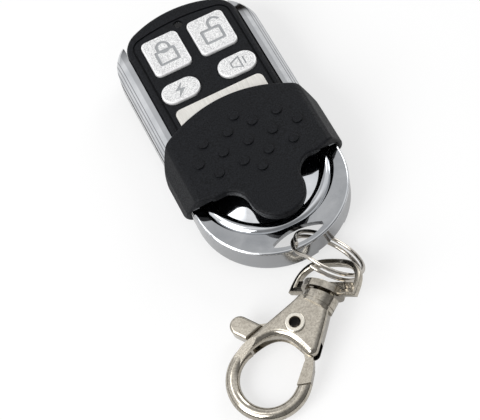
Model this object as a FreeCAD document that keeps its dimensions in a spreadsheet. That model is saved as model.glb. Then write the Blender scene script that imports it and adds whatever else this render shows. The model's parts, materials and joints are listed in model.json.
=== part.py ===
"""Key fob remote control with a slide cover, a split ring and a swivel trigger clasp.

Millimetres, +Z up. X runs across the fob, +Y towards its button end. The origin is the
middle of the fob's back at the height of the surface that everything rests on.
"""
import FreeCAD
import Part
import math
import os
from types import SimpleNamespace

doc = FreeCAD.newDocument("KeyFob")

# Driving sizes: alias, millimetres (or degrees, or a count), what it is.
SIZES = [
    ("fob_half_width", 15.6, "chrome frame, middle to outer wall"),
    ("bowl_y", -15.1, "centre of the frame's round lower end"),
    ("frame_bottom", 3.4, "underside of the chrome frame"),
    ("flange_top", 8.8, "flat rim of the lower end"),
    ("frame_wall", 1.0, "wall of the frame round the lower end"),
    ("rail_curve_start", 21.6, "where the rails start to curve in"),
    ("rail_curve_radius", 9.0, "outer radius of the rails' ends"),
    ("rail_tip", 12.0, "middle to the tip of each rail"),
    ("rail_edge", 8.6, "height of the rails' outer edge"),
    ("rail_facet", 0.7, "width of the rails' outer facet"),
    ("rail_facet_top", 9.6, "height where the two rail facets meet"),
    ("rail_top", 11.1, "height of the rails' inner edge"),
    ("rail_end", -9.4, "lower end of the raised rails"),
    ("rail_ramp", 4.0, "length of the ramp at the rails' lower end"),
    ("rim_round", 0.45, "rounding of the flat rim's outer edge"),
    ("dish_y", -11.9, "centre of the round dish"),
    ("dish_radius", 14.1, "edge of the dish in the flat rim"),
    ("dish_groove", 8.2, "height of the groove inside the dish's edge"),
    ("bead_outer_radius", 13.3, "round bead in the dish, outer foot"),
    ("bead_inner_radius", 11.1, "round bead in the dish, inner foot"),
    ("bead_top", 8.65, "round bead in the dish, height"),
    ("dish_inner_top", 8.0, "height of the floor's edge inside the bead"),
    ("dome_top", 9.4, "height of the low dome in the middle of the dish"),
    ("dome_flat_radius", 1.5, "flat spot on top of the dome"),
    ("dish_thickness", 1.8, "plate thickness under the dish's lowest edge"),
    ("partition_y", -22.4, "ring side of the wall behind the slot"),
    ("slot_half_length", 5.25, "middle to each end of the key ring slot"),
    ("slot_end_y", -27.95, "height of the slot's ends in plan"),
    ("slot_end_width", 0.7, "width of the slot's ends"),
    ("slot_upper_y", -26.3, "top of the slot's upper arc"),
    ("slot_ledge", 0.1, "ledge of the plate behind the lip"),
    ("slot_plate", 1.3, "plate thickness round the slot"),
    ("ring_bay_half_width", 10.0, "hollow behind the slot, middle to side"),
    ("rim_notch", 0.5, "relief under the rim where the ring passes"),
    ("rim_notch_left", 2.6, "left end of that relief"),
    ("rim_notch_right", 9.8, "right end of that relief"),
    ("track_bottom", 6.4, "slide track, lower edge"),
    ("track_height", 1.2, "slide track, height"),
    ("track_depth", 0.8, "slide track, depth into the side wall"),
    ("track_low_end", -13.6, "slide track, lower end"),
    ("track_high_end", 24.2, "slide track, upper end"),
    ("panel_gap", 0.1, "play between the panel and the frame"),
    ("panel_half_width", 12.25, "front panel, middle to side"),
    ("panel_end_y", 30.9, "front panel, top of its arched end"),
    ("panel_low_y", -4.8, "front panel, lower end"),
    ("panel_arch_radius", 21.9, "front panel, radius of its arched end"),
    ("panel_corner_radius", 5.5, "front panel, corner radius"),
    ("panel_top", 11.5, "front panel, height of its face"),
    ("panel_plate", 1.4, "front panel, plate thickness"),
    ("panel_wall", 1.2, "front panel, side wall thickness"),
    ("panel_foot", 4.4, "front panel, foot of its side walls"),
    ("panel_low_foot", 6.5, "front panel, foot of its lower end wall"),
    ("panel_round", 0.9, "front panel, rounding of its edge"),
    ("groove_half_width", 10.7, "decorative groove, middle to its side line"),
    ("groove_end_y", 27.7, "decorative groove, top line"),
    ("groove_arch_radius", 40.0, "decorative groove, radius of its top line"),
    ("groove_corner_radius", 2.6, "decorative groove, corner radius"),
    ("groove_width", 0.4, "decorative groove, width"),
    ("groove_depth", 0.35, "decorative groove, depth"),
    ("lamp_y", 26.4, "signal lamp position"),
    ("lamp_hole", 1.9, "lamp hole diameter"),
    ("pipe_tip", 1.7, "light pipe diameter in the hole"),
    ("pipe_flange", 2.6, "light pipe flange diameter"),
    ("pipe_flange_thickness", 0.8, "light pipe flange thickness"),
    ("pipe_sink", 0.3, "light pipe end below the panel face"),
    ("pipe_stem", 2.0, "light pipe stem diameter"),
    ("pipe_lamp_gap", 0.25, "air between lamp and light pipe"),
    ("square_x", 5.13, "square buttons, centre from the middle"),
    ("square_y", 20.76, "square buttons, centre along the fob"),
    ("square_width", 8.06, "square buttons, width"),
    ("square_length", 9.14, "square buttons, length"),
    ("square_corner", 1.2, "square buttons, corner radius"),
    ("oval_x", 6.235, "oval buttons, centre from the middle"),
    ("oval_y", 11.19, "oval buttons, centre along the fob"),
    ("oval_width", 8.13, "oval buttons, width"),
    ("oval_length", 4.8, "oval buttons, length"),
    ("button_gap", 0.15, "play round each button"),
    ("button_rise", 0.6, "button top above the panel face"),
    ("button_round", 0.35, "button top edge rounding"),
    ("button_flange", 0.5, "button flange width"),
    ("button_flange_thickness", 0.55, "button flange thickness"),
    ("button_under_gap", 0.1, "play between flange and panel"),
    ("button_foot", 2.4, "button foot diameter"),
    ("button_foot_gap", 0.4, "play between button foot and switch plunger"),
    ("icon_depth", 0.16, "depth of the recessed signs"),
    ("icon_line", 0.62, "line width of the padlock signs"),
    ("icon_thin_line", 0.34, "line width of the horn sign"),
    ("label_half_width", 9.6, "label plate, middle to side"),
    ("label_top_y", 7.3, "label plate, upper edge"),
    ("label_low_y", -2.7, "label plate, lower edge"),
    ("label_corner", 1.3, "label plate, corner radius"),
    ("label_thickness", 0.3, "label plate, thickness"),
    ("label_gap", 0.08, "play round the label plate"),
    ("label_sink", 0.02, "label face below the panel face"),
    ("cover_half_width", 14.6, "back cover, middle to side"),
    ("cover_end_y", 30.3, "back cover, top of its arched end"),
    ("cover_low_y", -22.5, "back cover, lower end"),
    ("cover_corner_radius", 8.0, "back cover, corner radius"),
    ("cover_floor", 1.2, "back cover, floor thickness"),
    ("cover_wall", 1.6, "back cover, wall thickness"),
    ("cover_round", 1.0, "back cover, rounding of its bottom edge"),
    ("rib_thickness", 1.0, "locating ribs, thickness"),
    ("rib_low_y", -3.0, "locating ribs, lower end"),
    ("rib_length", 24.0, "locating ribs, length"),
    ("rib_gap", 0.2, "play between rib and panel wall"),
    ("post_x", 9.4, "board posts, from the middle"),
    ("post_low_y", -17.3, "lower board posts"),
    ("post_high_y", 21.5, "upper board posts"),
    ("post_diameter", 2.2, "board posts, diameter"),
    ("screw_x", 8.6, "case screws, from the middle"),
    ("screw_y", 4.6, "case screws, along the fob"),
    ("screw_shank", 1.6, "case screws, shank diameter"),
    ("screw_head", 3.0, "case screws, head diameter"),
    ("screw_head_height", 1.1, "case screws, head height"),
    ("screw_recess", 0.25, "screw head below the back face"),
    ("screw_reach", 8.9, "case screws, height of their tips"),
    ("screw_gap", 0.1, "play round shank and head"),
    ("thread_gap", 0.02, "play between screw thread and boss"),
    ("boss_diameter", 3.4, "screw boss, diameter"),
    ("screw_post", 4.6, "screw post in the back cover, diameter"),
    ("board_bottom", 5.2, "circuit board, underside"),
    ("board_thickness", 0.8, "circuit board, thickness"),
    ("board_half_width", 10.85, "circuit board, middle to side"),
    ("board_end_y", 28.2, "circuit board, upper end"),
    ("board_low_y", -19.0, "circuit board, lower end"),
    ("board_corner", 5.0, "circuit board, upper corner radius"),
    ("switch_body", 4.5, "push switch, side of its body"),
    ("switch_height", 2.5, "push switch, height of its body"),
    ("switch_plunger", 1.8, "push switch, plunger diameter"),
    ("switch_plunger_height", 0.25, "push switch, plunger height"),
    ("seal_thickness", 0.55, "keypad seal, thickness"),
    ("seal_half_width", 10.3, "keypad seal, middle to side"),
    ("seal_low_y", 7.6, "keypad seal, lower edge"),
    ("seal_high_y", 24.4, "keypad seal, upper edge"),
    ("seal_hole", 3.2, "keypad seal, hole diameter"),
    ("lamp_width", 1.6, "lamp chip, width"),
    ("lamp_length", 0.8, "lamp chip, length"),
    ("lamp_height", 0.7, "lamp chip, height"),
    ("track_inset", 0.35, "antenna track, distance from the board's edge"),
    ("track_width", 0.7, "antenna track, width"),
    ("track_thickness", 0.06, "antenna track, thickness"),
    ("track_low_y", 9.0, "antenna track, lower ends"),
    ("chip_x", -4.6, "encoder chip, centre"),
    ("chip_y", 12.5, "encoder chip, centre"),
    ("chip_width", 3.9, "encoder chip, body width"),
    ("chip_length", 4.9, "encoder chip, body length"),
    ("chip_height", 1.6, "encoder chip, body height"),
    ("lead_count", 4, "encoder chip, leads on each side"),
    ("lead_pitch", 1.27, "encoder chip, lead pitch"),
    ("can_x", 4.4, "resonator can, centre"),
    ("can_y", 16.6, "resonator can, centre"),
    ("can_width", 4.5, "resonator can, width"),
    ("can_length", 11.0, "resonator can, length"),
    ("can_height", 3.0, "resonator can, height"),
    ("transistor_x", -4.6, "transistor, centre"),
    ("transistor_y", 19.4, "transistor, centre"),
    ("small_chip_length", 1.6, "chip resistors and capacitors, length"),
    ("small_chip_width", 0.8, "chip resistors and capacitors, width"),
    ("resistor_height", 0.5, "chip resistors, height"),
    ("capacitor_height", 0.8, "chip capacitors, height"),
    ("small_chip_pitch", 2.2, "chip resistors and capacitors, spacing"),
    ("cell_diameter", 20.0, "coin cell, diameter"),
    ("cell_thickness", 3.2, "coin cell, thickness"),
    ("cell_y", -9.5, "coin cell, centre"),
    ("cell_bottom", 1.5, "coin cell, underside"),
    ("leaf_thickness", 0.25, "contact leaves, thickness"),
    ("leaf_width", 5.0, "contact leaves, width"),
    ("slider_half_width", 17.2, "slide cover, middle to skirt"),
    ("slider_wall", 1.3, "slide cover, skirt thickness"),
    ("slider_foot", 6.6, "slide cover, foot of its skirts"),
    ("slider_lip", 0.95, "slide cover, lip into the track"),
    ("slider_lip_height", 0.8, "slide cover, lip height"),
    ("slider_shoulder", 8.6, "slide cover, height where the bevel starts"),
    ("slider_shoulder_in", 0.5, "slide cover, lean of its skirts up to the bevel"),
    ("slider_bevel_round", 0.9, "slide cover, from each bevel's corner to where its rounding starts"),
    ("slider_face_half_width", 14.4, "slide cover, middle to bevel"),
    ("slider_face_edge", 13.0, "slide cover, height of its face's sides"),
    ("slider_crown", 13.7, "slide cover, height of its face's middle"),
    ("slider_over_button", 0.3, "air between slide cover and buttons"),
    ("slider_over_panel", 0.4, "air between thumb tab and panel face"),
    ("slider_top_y", 4.5, "slide cover, top of its arched edge"),
    ("slider_arch_radius", 27.0, "slide cover, radius of its arched edge"),
    ("slider_low_y", -15.4, "slide cover, lower edge beside the tab"),
    ("tab_y", -19.7, "thumb tab, centre"),
    ("tab_radius", 5.6, "thumb tab, radius"),
    ("slider_round", 0.5, "slide cover, rounding of its top edge"),
    ("dot_diameter", 2.0, "raised dots, diameter"),
    ("dot_height", 0.35, "raised dots, height"),
    ("dot_round", 0.12, "raised dots, edge rounding"),
    ("dot_pitch", 2.65, "raised dots, half of their spacing across"),
    ("dot_row", 3.7, "raised dots, spacing of the rows"),
    ("dot_first_y", -3.7, "raised dots, height of the upper full row"),
    ("slide_travel", 22.0, "slide cover, travel"),
    ("ring_x", 3.22, "split ring, centre"),
    ("ring_y", -33.65, "split ring, centre"),
    ("ring_z", 6.76, "split ring, centre"),
    ("ring_radius", 7.13, "split ring, centre to wire centre"),
    ("ring_wire", 0.75, "split ring, wire diameter"),
    ("ring_pitch", 1.17, "split ring, spacing of its two turns"),
    ("ring_start", 216.0, "split ring, angle of its first wire end"),
    ("claw_x", -8.27, "clasp, rivet centre"),
    ("claw_y", -43.03, "clasp, rivet centre"),
    ("claw_z", 4.5, "clasp, rivet centre"),
    ("claw_turn", 34.0, "clasp, direction in plan"),
    ("claw_lean", 7.5, "clasp, rise towards the swivel"),
    ("claw_thickness", 5.0, "clasp body, thickness"),
    ("claw_round", 0.7, "clasp body, rounding of its plates"),
    ("claw_side_round", 1.3, "clasp body, rounding of its right side"),
    ("claw_root", 0.45, "clasp body, share of the rod where its plates end in it"),
    ("lever_thickness", 2.2, "lever, thickness"),
    ("lever_gap", 0.1, "play on each side of the lever"),
    ("hook_x", -11.2, "hook, centre along the clasp"),
    ("hook_radius", 6.85, "hook, centre to rod centre"),
    ("hook_rod", 2.7, "hook, rod diameter"),
    ("gate_radius", 11.5, "gate, rivet to its end face"),
    ("gate_gap", 0.3, "air between the gate and the hook's nose"),
    ("gate_thickness", 2.5, "gate, thickness"),
    ("thumb_thickness", 3.4, "thumb tab of the lever, thickness"),
    ("rivet_shank", 3.0, "rivet, shank diameter"),
    ("rivet_bore", 2.2, "rivet, bore"),
    ("rivet_head", 3.9, "rivet, head diameter"),
    ("rivet_head_height", 0.4, "rivet, head height"),
    ("pivot_gap", 0.05, "running play round the rivet and the post"),
    ("spring_outer", 4.7, "lever spring, outer diameter"),
    ("spring_inner", 3.4, "lever spring, inner diameter"),
    ("spring_height", 1.1, "lever spring, height"),
    ("spring_gap", 0.1, "play round the lever spring"),
    ("collar_x", 4.9, "collar, start along the clasp"),
    ("collar_length", 2.2, "collar, length"),
    ("collar_diameter", 6.8, "collar, diameter"),
    ("swivel_offset", -1.35, "swivel axis beside the rivet"),
    ("swivel_turn", 42.0, "swivel axis, direction in plan"),
    ("swivel_lean", 3.0, "swivel axis, rise"),
    ("neck_diameter", 4.2, "swivel post, neck diameter"),
    ("shank_diameter", 2.0, "swivel post, shank diameter"),
    ("post_head", 3.8, "swivel post, head diameter"),
    ("post_head_height", 0.7, "swivel post, head height"),
    ("post_play", 0.12, "end play of the swivel"),
    ("d_roll", -34.0, "D ring, roll about the swivel axis"),
    ("d_base", 0.45, "D ring, collar to base bar"),
    ("d_bar", 1.3, "D ring, bar width"),
    ("d_depth", 1.4, "D ring, bar depth"),
    ("d_half_width", 8.55, "D ring, middle to outer side"),
    ("d_height", 7.6, "D ring, base to top"),
    ("d_power", 2.9, "D ring, squareness of its outline"),
    ("d_round", 0.35, "D ring, edge rounding"),
    ("hood_radius", 4.2, "D ring, radius of the hood over the post"),
    ("hood_wall", 0.75, "D ring, hood thickness"),
    ("web_thickness", 0.7, "D ring, web that the post turns in"),
    ("plate_height", 1.35, "D ring, flat plate above its base bar, height"),
    ("plate_thickness", 0.8, "D ring, flat plate above its base bar, thickness"),
]

sheet = doc.addObject("Spreadsheet::Sheet", "Sizes")
for number, (alias, value, note) in enumerate(SIZES, start=1):
    sheet.set(f"A{number}", note)
    sheet.set(f"B{number}", str(value))
    sheet.setAlias(f"B{number}", alias)
doc.recompute()
s = SimpleNamespace(**{alias: float(sheet.get(alias)) for alias, _, _ in SIZES})

PARTS = []


def vec(x, y, z=0.0):
    return FreeCAD.Vector(x, y, z)


def add_shape(label, shape, placement=None):
    """A sub-part whose shape is made in code."""
    item = doc.addObject("Part::Feature", label)
    item.Label = label
    item.Shape = shape
    item.Placement = placement or FreeCAD.Placement()
    PARTS.append(item)
    return item


def bind(item, **expressions):
    """Tie properties of an object to cells of the sheet; x, y and z are its position."""
    for key, expression in expressions.items():
        name = f"Placement.Base.{key}" if key in ("x", "y", "z") else key
        item.setExpression(name, expression)
    return item


def box(name, **expressions):
    return bind(doc.addObject("Part::Box", name), **expressions)


def cylinder(name, **expressions):
    return bind(doc.addObject("Part::Cylinder", name), **expressions)


def join(label, pieces):
    """One sub-part fused from several primitives."""
    item = doc.addObject("Part::MultiFuse", label)
    item.Label = label
    item.Shapes = pieces
    PARTS.append(item)
    return item


def cut(name, base, tool):
    item = doc.addObject("Part::Cut", name)
    item.Base = base
    item.Tool = tool
    return item


def sketch_geometry(wires):
    """The lines and arcs of flat wires as sketch geometry."""
    geometry = []
    for wire in wires:
        for edge in wire.Edges:
            first, last = edge.ParameterRange
            start = edge.valueAt(first)
            middle = edge.valueAt((first + last) / 2)
            end = edge.valueAt(last)
            if isinstance(edge.Curve, Part.Circle) and edge.isClosed():
                geometry.append(Part.Circle(edge.Curve.Center, vec(0, 0, 1), edge.Curve.Radius))
            elif isinstance(edge.Curve, Part.Circle):
                geometry.append(Part.Arc(start, middle, end))
            else:
                geometry.append(Part.LineSegment(start, end))
    return geometry


def new_body(label):
    body = doc.addObject("PartDesign::Body", label)
    body.Label = label
    PARTS.append(body)
    return body


def sketch_on(body, name, wires, height):
    """A sketch on the body's XY plane, lifted to a height given as an expression."""
    sketch = body.newObject("Sketcher::SketchObject", name)
    plane = [item for item in body.Origin.OriginFeatures if item.Role == "XY_Plane"][0]
    sketch.AttachmentSupport = [(plane, "")]
    sketch.MapMode = "FlatFace"
    sketch.setExpression("AttachmentOffset.Base.z", height)
    sketch.addGeometry(sketch_geometry(wires), False)
    return sketch


def pad(body, name, wires, height, length):
    sketch = sketch_on(body, name + "_sketch", wires, height)
    feature = body.newObject("PartDesign::Pad", name)
    feature.Profile = sketch
    feature.setExpression("Length", length)
    doc.recompute()
    return feature


def pocket(body, name, wires, height, length):
    """A pocket that cuts downwards from its sketch."""
    before = body.Shape.Volume
    sketch = sketch_on(body, name + "_sketch", wires, height)
    feature = body.newObject("PartDesign::Pocket", name)
    feature.Profile = sketch
    feature.setExpression("Length", length)
    doc.recompute()
    if not body.Shape.Volume < before:
        raise RuntimeError(f"{name} cuts nothing")
    return feature


def prism(wire, bottom, top):
    """A flat outline in the XY plane, raised from one height to another."""
    face = Part.Face(wire)
    face.translate(vec(0, 0, bottom))
    return face.extrude(vec(0, 0, top - bottom))


def block(x0, x1, y0, y1, z0, z1):
    return Part.makeBox(x1 - x0, y1 - y0, z1 - z0, vec(x0, y0, z0))


def disc(diameter, x, y, z0, z1):
    return Part.makeCylinder(diameter / 2, z1 - z0, vec(x, y, z0))


def line(a, b):
    return Part.LineSegment(vec(*a), vec(*b)).toShape()


def arc(a, b, c):
    return Part.Arc(vec(*a), vec(*b), vec(*c)).toShape()


def spline(points):
    curve = Part.BSplineCurve()
    curve.interpolate([vec(*point) for point in points])
    return curve.toShape()


def circle_wire(radius, x, y):
    return Part.Wire([Part.Circle(vec(x, y), vec(0, 0, 1), radius).toShape()])


def rounded_rectangle(width, length, radius, x=0.0, y=0.0):
    """A closed rectangle with rounded corners; a radius of half its length gives an oval."""
    a = width / 2
    b = length / 2
    r = min(radius, a, b)
    k = r * (1 - math.sqrt(0.5))
    corners = []
    for sx, sy in ((1, -1), (1, 1), (-1, 1), (-1, -1)):
        along = [(x + sx * a, y + sy * (b - r)), (x + sx * (a - k), y + sy * (b - k)),
                 (x + sx * (a - r), y + sy * b)]
        corners.append(along if sx * sy > 0 else along[::-1])
    edges = []
    for here, there in zip(corners, corners[1:] + corners[:1]):
        edges.append(arc(*here))
        if math.dist(here[2], there[0]) > 1e-6:
            edges.append(line(here[2], there[0]))
    return Part.Wire(edges)


def arched_outline(half_width, end_y, arch_radius, corner_radius, low_y):
    """Straight sides, an arched upper end with round corners, and a square lower end."""
    arch_y = end_y - arch_radius
    cx = half_width - corner_radius
    cy = arch_y + math.sqrt((arch_radius - corner_radius) ** 2 - cx ** 2)
    lean = math.atan2(cy - arch_y, cx)
    tx = arch_radius * math.cos(lean)
    ty = arch_y + arch_radius * math.sin(lean)
    mx = cx + corner_radius * math.cos(lean / 2)
    my = cy + corner_radius * math.sin(lean / 2)
    return Part.Wire([
        line((-half_width, low_y), (half_width, low_y)),
        line((half_width, low_y), (half_width, cy)),
        arc((half_width, cy), (mx, my), (tx, ty)),
        arc((tx, ty), (0, end_y), (-tx, ty)),
        arc((-tx, ty), (-mx, my), (-half_width, cy)),
        line((-half_width, cy), (-half_width, low_y)),
    ])


def mirrored(shape):
    """The same shape on the other side of the fob's middle plane."""
    return shape.mirror(vec(0, 0), vec(1, 0))


def panel_outline(inset, low_y):
    return arched_outline(s.panel_half_width - inset, s.panel_end_y - inset,
                          s.panel_arch_radius - inset, s.panel_corner_radius - inset, low_y)


# Chrome frame: two side rails joined by a bowl-shaped lower end with the key ring slot.
def frame_outline():
    centre_x = s.fob_half_width - s.rail_curve_radius
    reach = math.sqrt(s.rail_curve_radius ** 2 - (s.rail_tip - centre_x) ** 2)
    tip_y = s.rail_curve_start + reach
    turn = math.atan2(reach, s.rail_tip - centre_x) / 2
    mx = centre_x + s.rail_curve_radius * math.cos(turn)
    my = s.rail_curve_start + s.rail_curve_radius * math.sin(turn)
    w = s.fob_half_width
    return Part.Wire([
        arc((-w, s.bowl_y), (0, s.bowl_y - w), (w, s.bowl_y)),
        line((w, s.bowl_y), (w, s.rail_curve_start)),
        arc((w, s.rail_curve_start), (mx, my), (s.rail_tip, tip_y)),
        line((s.rail_tip, tip_y), (-s.rail_tip, tip_y)),
        arc((-s.rail_tip, tip_y), (-mx, my), (-w, s.rail_curve_start)),
        line((-w, s.rail_curve_start), (-w, s.bowl_y)),
    ])


def rail_shaver():
    """What lies above the two facets of the right-hand rail, along its whole outline."""
    w = s.fob_half_width
    rail_width = w - s.panel_half_width - s.panel_gap
    slope = (s.rail_top - s.rail_facet_top) / (rail_width - s.rail_facet)
    over = 1.0
    high = s.rail_top + 2.0
    start = s.rail_end - s.rail_ramp
    profile = Part.makePolygon([
        vec(w + over, start, s.rail_edge), vec(w, start, s.rail_edge),
        vec(w - s.rail_facet, start, s.rail_facet_top),
        vec(w - rail_width, start, s.rail_top),
        vec(w - rail_width - over, start, s.rail_top + slope * over),
        vec(w - rail_width - over, start, high), vec(w + over, start, high),
        vec(w + over, start, s.rail_edge)])
    centre_x = w - s.rail_curve_radius
    quarter = math.sqrt(0.5) * s.rail_curve_radius
    path = Part.Wire([
        line((w, start), (w, s.rail_curve_start)),
        arc((w, s.rail_curve_start), (centre_x + quarter, s.rail_curve_start + quarter),
            (centre_x, s.rail_curve_start + s.rail_curve_radius))])
    return path.makePipeShell([profile], True, False)


def dish_cutter():
    high = s.rail_top + 1.0
    middle = (s.bead_inner_radius + s.bead_outer_radius) / 2
    spots = {
        "centre": vec(0, s.dish_y, s.dome_top),
        "dome": vec(s.dome_flat_radius, s.dish_y, s.dome_top),
        "dome side": vec(s.bead_inner_radius * 0.55, s.dish_y,
                         s.dome_top - (s.dome_top - s.dish_inner_top) * 0.29),
        "inner": vec(s.bead_inner_radius, s.dish_y, s.dish_inner_top),
        "crest": vec(middle, s.dish_y, s.bead_top),
        "outer": vec(s.bead_outer_radius, s.dish_y, s.dish_groove),
        "rim": vec(s.dish_radius, s.dish_y, s.flange_top),
        "above rim": vec(s.dish_radius, s.dish_y, high),
        "above centre": vec(0, s.dish_y, high),
    }
    profile = Part.Wire([
        Part.LineSegment(spots["centre"], spots["dome"]).toShape(),
        Part.LineSegment(spots["dome"], spots["dome side"]).toShape(),
        Part.LineSegment(spots["dome side"], spots["inner"]).toShape(),
        Part.Arc(spots["inner"], spots["crest"], spots["outer"]).toShape(),
        Part.LineSegment(spots["outer"], spots["rim"]).toShape(),
        Part.LineSegment(spots["rim"], spots["above rim"]).toShape(),
        Part.LineSegment(spots["above rim"], spots["above centre"]).toShape(),
        Part.LineSegment(spots["above centre"], spots["centre"]).toShape()])
    return Part.Face(profile).revolve(vec(0, s.dish_y, 0), vec(0, 0, 1), 360)


def slot_cutter():
    lip_y = s.bowl_y - s.fob_half_width + s.frame_wall + s.slot_ledge
    a = s.slot_half_length
    upper = s.slot_end_y + s.slot_end_width / 2
    lower = s.slot_end_y - s.slot_end_width / 2
    wire = Part.Wire([
        arc((-a, lower), (0, lip_y), (a, lower)), line((a, lower), (a, upper)),
        arc((a, upper), (0, s.slot_upper_y), (-a, upper)), line((-a, upper), (-a, lower))])
    return prism(wire, s.flange_top - s.slot_plate - 0.5, s.flange_top + 1.0)


def make_chrome_frame():
    outline = frame_outline()
    body = prism(outline, s.frame_bottom, s.flange_top)
    rim = [edge for edge in body.Edges
           if edge.BoundBox.ZMin > s.flange_top - 0.01
           and edge.BoundBox.YMax < s.rail_curve_start + 0.01]
    body = body.makeFillet(s.rim_round, rim)
    rails = prism(outline, s.flange_top - 1.0, s.rail_top)
    rails = rails.common(block(-20, 20, s.rail_end - s.rail_ramp, 40, 0, 20))
    shaver = rail_shaver()
    rails = rails.cut([shaver, mirrored(shaver)])
    ramp = Part.Face(Part.makePolygon([
        vec(-20, s.rail_end - s.rail_ramp, s.flange_top), vec(-20, s.rail_end, s.rail_top + 0.1),
        vec(-20, s.rail_end - s.rail_ramp - 1, s.rail_top + 0.1),
        vec(-20, s.rail_end - s.rail_ramp, s.flange_top)]))
    rails = rails.cut(ramp.extrude(vec(40, 0, 0)))
    body = body.fuse(rails)
    opening = prism(panel_outline(-s.panel_gap, s.panel_low_y - s.panel_gap), 0, 20)
    beyond_tips = block(-s.rail_tip, s.rail_tip, s.rail_curve_start, 40, 0, 20)
    inner = s.fob_half_width - s.frame_wall
    dish_bottom = s.dish_inner_top - s.dish_thickness
    hollow = disc(2 * inner, 0, s.bowl_y, 0, dish_bottom)
    hollow = hollow.fuse(block(-inner, inner, s.bowl_y, s.panel_low_y - s.panel_gap, 0, dish_bottom))
    hollow = hollow.common(block(-20, 20, s.partition_y + s.frame_wall, 40, 0, 20))
    plate_bottom = s.flange_top - s.slot_plate
    bay = disc(2 * inner, 0, s.bowl_y, 0, plate_bottom)
    bay = bay.common(block(-s.ring_bay_half_width, s.ring_bay_half_width, -40, s.partition_y, 0, 20))
    notch = block(s.rim_notch_left, s.rim_notch_right, -40, s.partition_y,
                  0, s.frame_bottom + s.rim_notch)
    track = block(s.fob_half_width - s.track_depth, 20, s.track_low_end, s.track_high_end,
                  s.track_bottom, s.track_bottom + s.track_height)
    body = body.cut([opening, beyond_tips, hollow, bay, notch, slot_cutter(), dish_cutter(),
                     track, mirrored(track)])
    return body.removeSplitter()


add_shape("chrome_frame", make_chrome_frame())


# Front panel: black plate with side walls, button openings, label recess and screw bosses.
def screw_places():
    return [(-s.screw_x, s.screw_y), (s.screw_x, s.screw_y)]


def button_places():
    """Centre, width, length and corner radius of each button."""
    square = (s.square_width, s.square_length, s.square_corner)
    oval = (s.oval_width, s.oval_length, s.oval_length / 2)
    return [(-s.square_x, s.square_y) + square, (s.square_x, s.square_y) + square,
            (-s.oval_x, s.oval_y) + oval, (s.oval_x, s.oval_y) + oval]


def label_outline(grow):
    width = 2 * (s.label_half_width + grow)
    length = s.label_top_y - s.label_low_y + 2 * grow
    middle = (s.label_top_y + s.label_low_y) / 2
    return rounded_rectangle(width, length, s.label_corner + grow, 0, middle)


def groove_cutter():
    half = s.groove_width / 2
    low = s.panel_low_y - 5
    wires = [arched_outline(s.groove_half_width + d, s.groove_end_y + d, s.groove_arch_radius + d,
                            s.groove_corner_radius + d, low - d) for d in (half, -half)]
    outer, inner = [prism(wire, s.panel_top - s.groove_depth, s.panel_top + 1) for wire in wires]
    return outer.cut(inner)


def make_front_panel():
    body = prism(panel_outline(0, s.panel_low_y), s.frame_bottom, s.panel_top)
    edges = [edge for edge in body.Edges
             if edge.BoundBox.ZMin > s.panel_top - 0.01
             and edge.BoundBox.YMax > s.panel_low_y + 0.1]
    body = body.makeFillet(s.panel_round, edges)
    under = s.panel_top - s.panel_plate
    inside = prism(panel_outline(s.panel_wall, s.panel_low_y + s.panel_wall), 0, under)
    wide = s.panel_half_width + 1
    side_foot = block(-wide, wide, s.panel_low_y - 1, s.rib_low_y + s.rib_length + 0.5, 0, s.panel_foot)
    low_foot = block(-wide, wide, s.panel_low_y - 1, s.panel_low_y + s.panel_wall + 0.01,
                     0, s.panel_low_foot)
    body = body.cut([inside, side_foot, low_foot])
    board_top = s.board_bottom + s.board_thickness
    for x, y in screw_places():
        body = body.fuse(disc(s.boss_diameter, x, y, board_top + s.screw_gap, under))
    tools = [groove_cutter()]
    for x, y, width, length, corner in button_places():
        hole = rounded_rectangle(width + 2 * s.button_gap, length + 2 * s.button_gap,
                                 corner + s.button_gap, x, y)
        tools.append(prism(hole, under - 1, s.panel_top + 1))
    tools.append(prism(label_outline(s.label_gap),
                       s.panel_top - s.label_thickness - s.label_sink, s.panel_top + 1))
    tools.append(disc(s.lamp_hole, 0, s.lamp_y, under - 1, s.panel_top + 1))
    for x, y in screw_places():
        tools.append(disc(s.screw_shank + 2 * s.thread_gap, x, y, 0, s.screw_reach + 0.3))
    return body.cut(tools).removeSplitter()


add_shape("front_panel", make_front_panel())


# Push buttons: a flanged cap with a foot below and a recessed sign on top.
def padlock_sign(shackle_x, shackle_lift, free_leg):
    """Padlock in lines: closed wires to recess; the free leg is this much shorter."""
    t = s.icon_line
    body_w = s.square_width * 0.565
    body_h = s.square_length * 0.41
    body_y = -s.square_length * 0.085
    top = body_y + body_h / 2
    outer = prism(rounded_rectangle(body_w, body_h, t * 0.7, 0, body_y), 0, s.icon_depth)
    inner = prism(rounded_rectangle(body_w - 2 * t, body_h - 2 * t, t * 0.2, 0, body_y), -1, 1)
    half = s.square_width * 0.195
    leg = s.square_length * 0.06 + shackle_lift
    bow_y = top + leg
    bow = disc(2 * half, shackle_x, bow_y, 0, s.icon_depth)
    bow = bow.fuse(block(shackle_x - half, shackle_x + half, top, bow_y, 0, s.icon_depth))
    hole = disc(2 * (half - t), shackle_x, bow_y, -1, 1)
    hole = hole.fuse(block(shackle_x - half + t, shackle_x + half - t, top - t, bow_y, -1, 1))
    trim = block(shackle_x + half - t - 0.01, shackle_x + half + 1, top - 1, top + free_leg, -1, 1)
    shackle = bow.cut([hole, trim]) if free_leg > 0 else bow.cut(hole)
    return outer.cut(inner).fuse(shackle)


def bolt_sign():
    """A lightning bolt, filled."""
    k = s.oval_length / 2
    points = [(0.42, 0.74), (-0.5, 0.0), (-0.06, -0.06), (-0.42, -0.74), (0.5, 0.06), (0.04, 0.14)]
    wire = Part.makePolygon([vec(k * x, k * y) for x, y in points + points[:1]])
    return prism(wire, 0, s.icon_depth)


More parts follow.
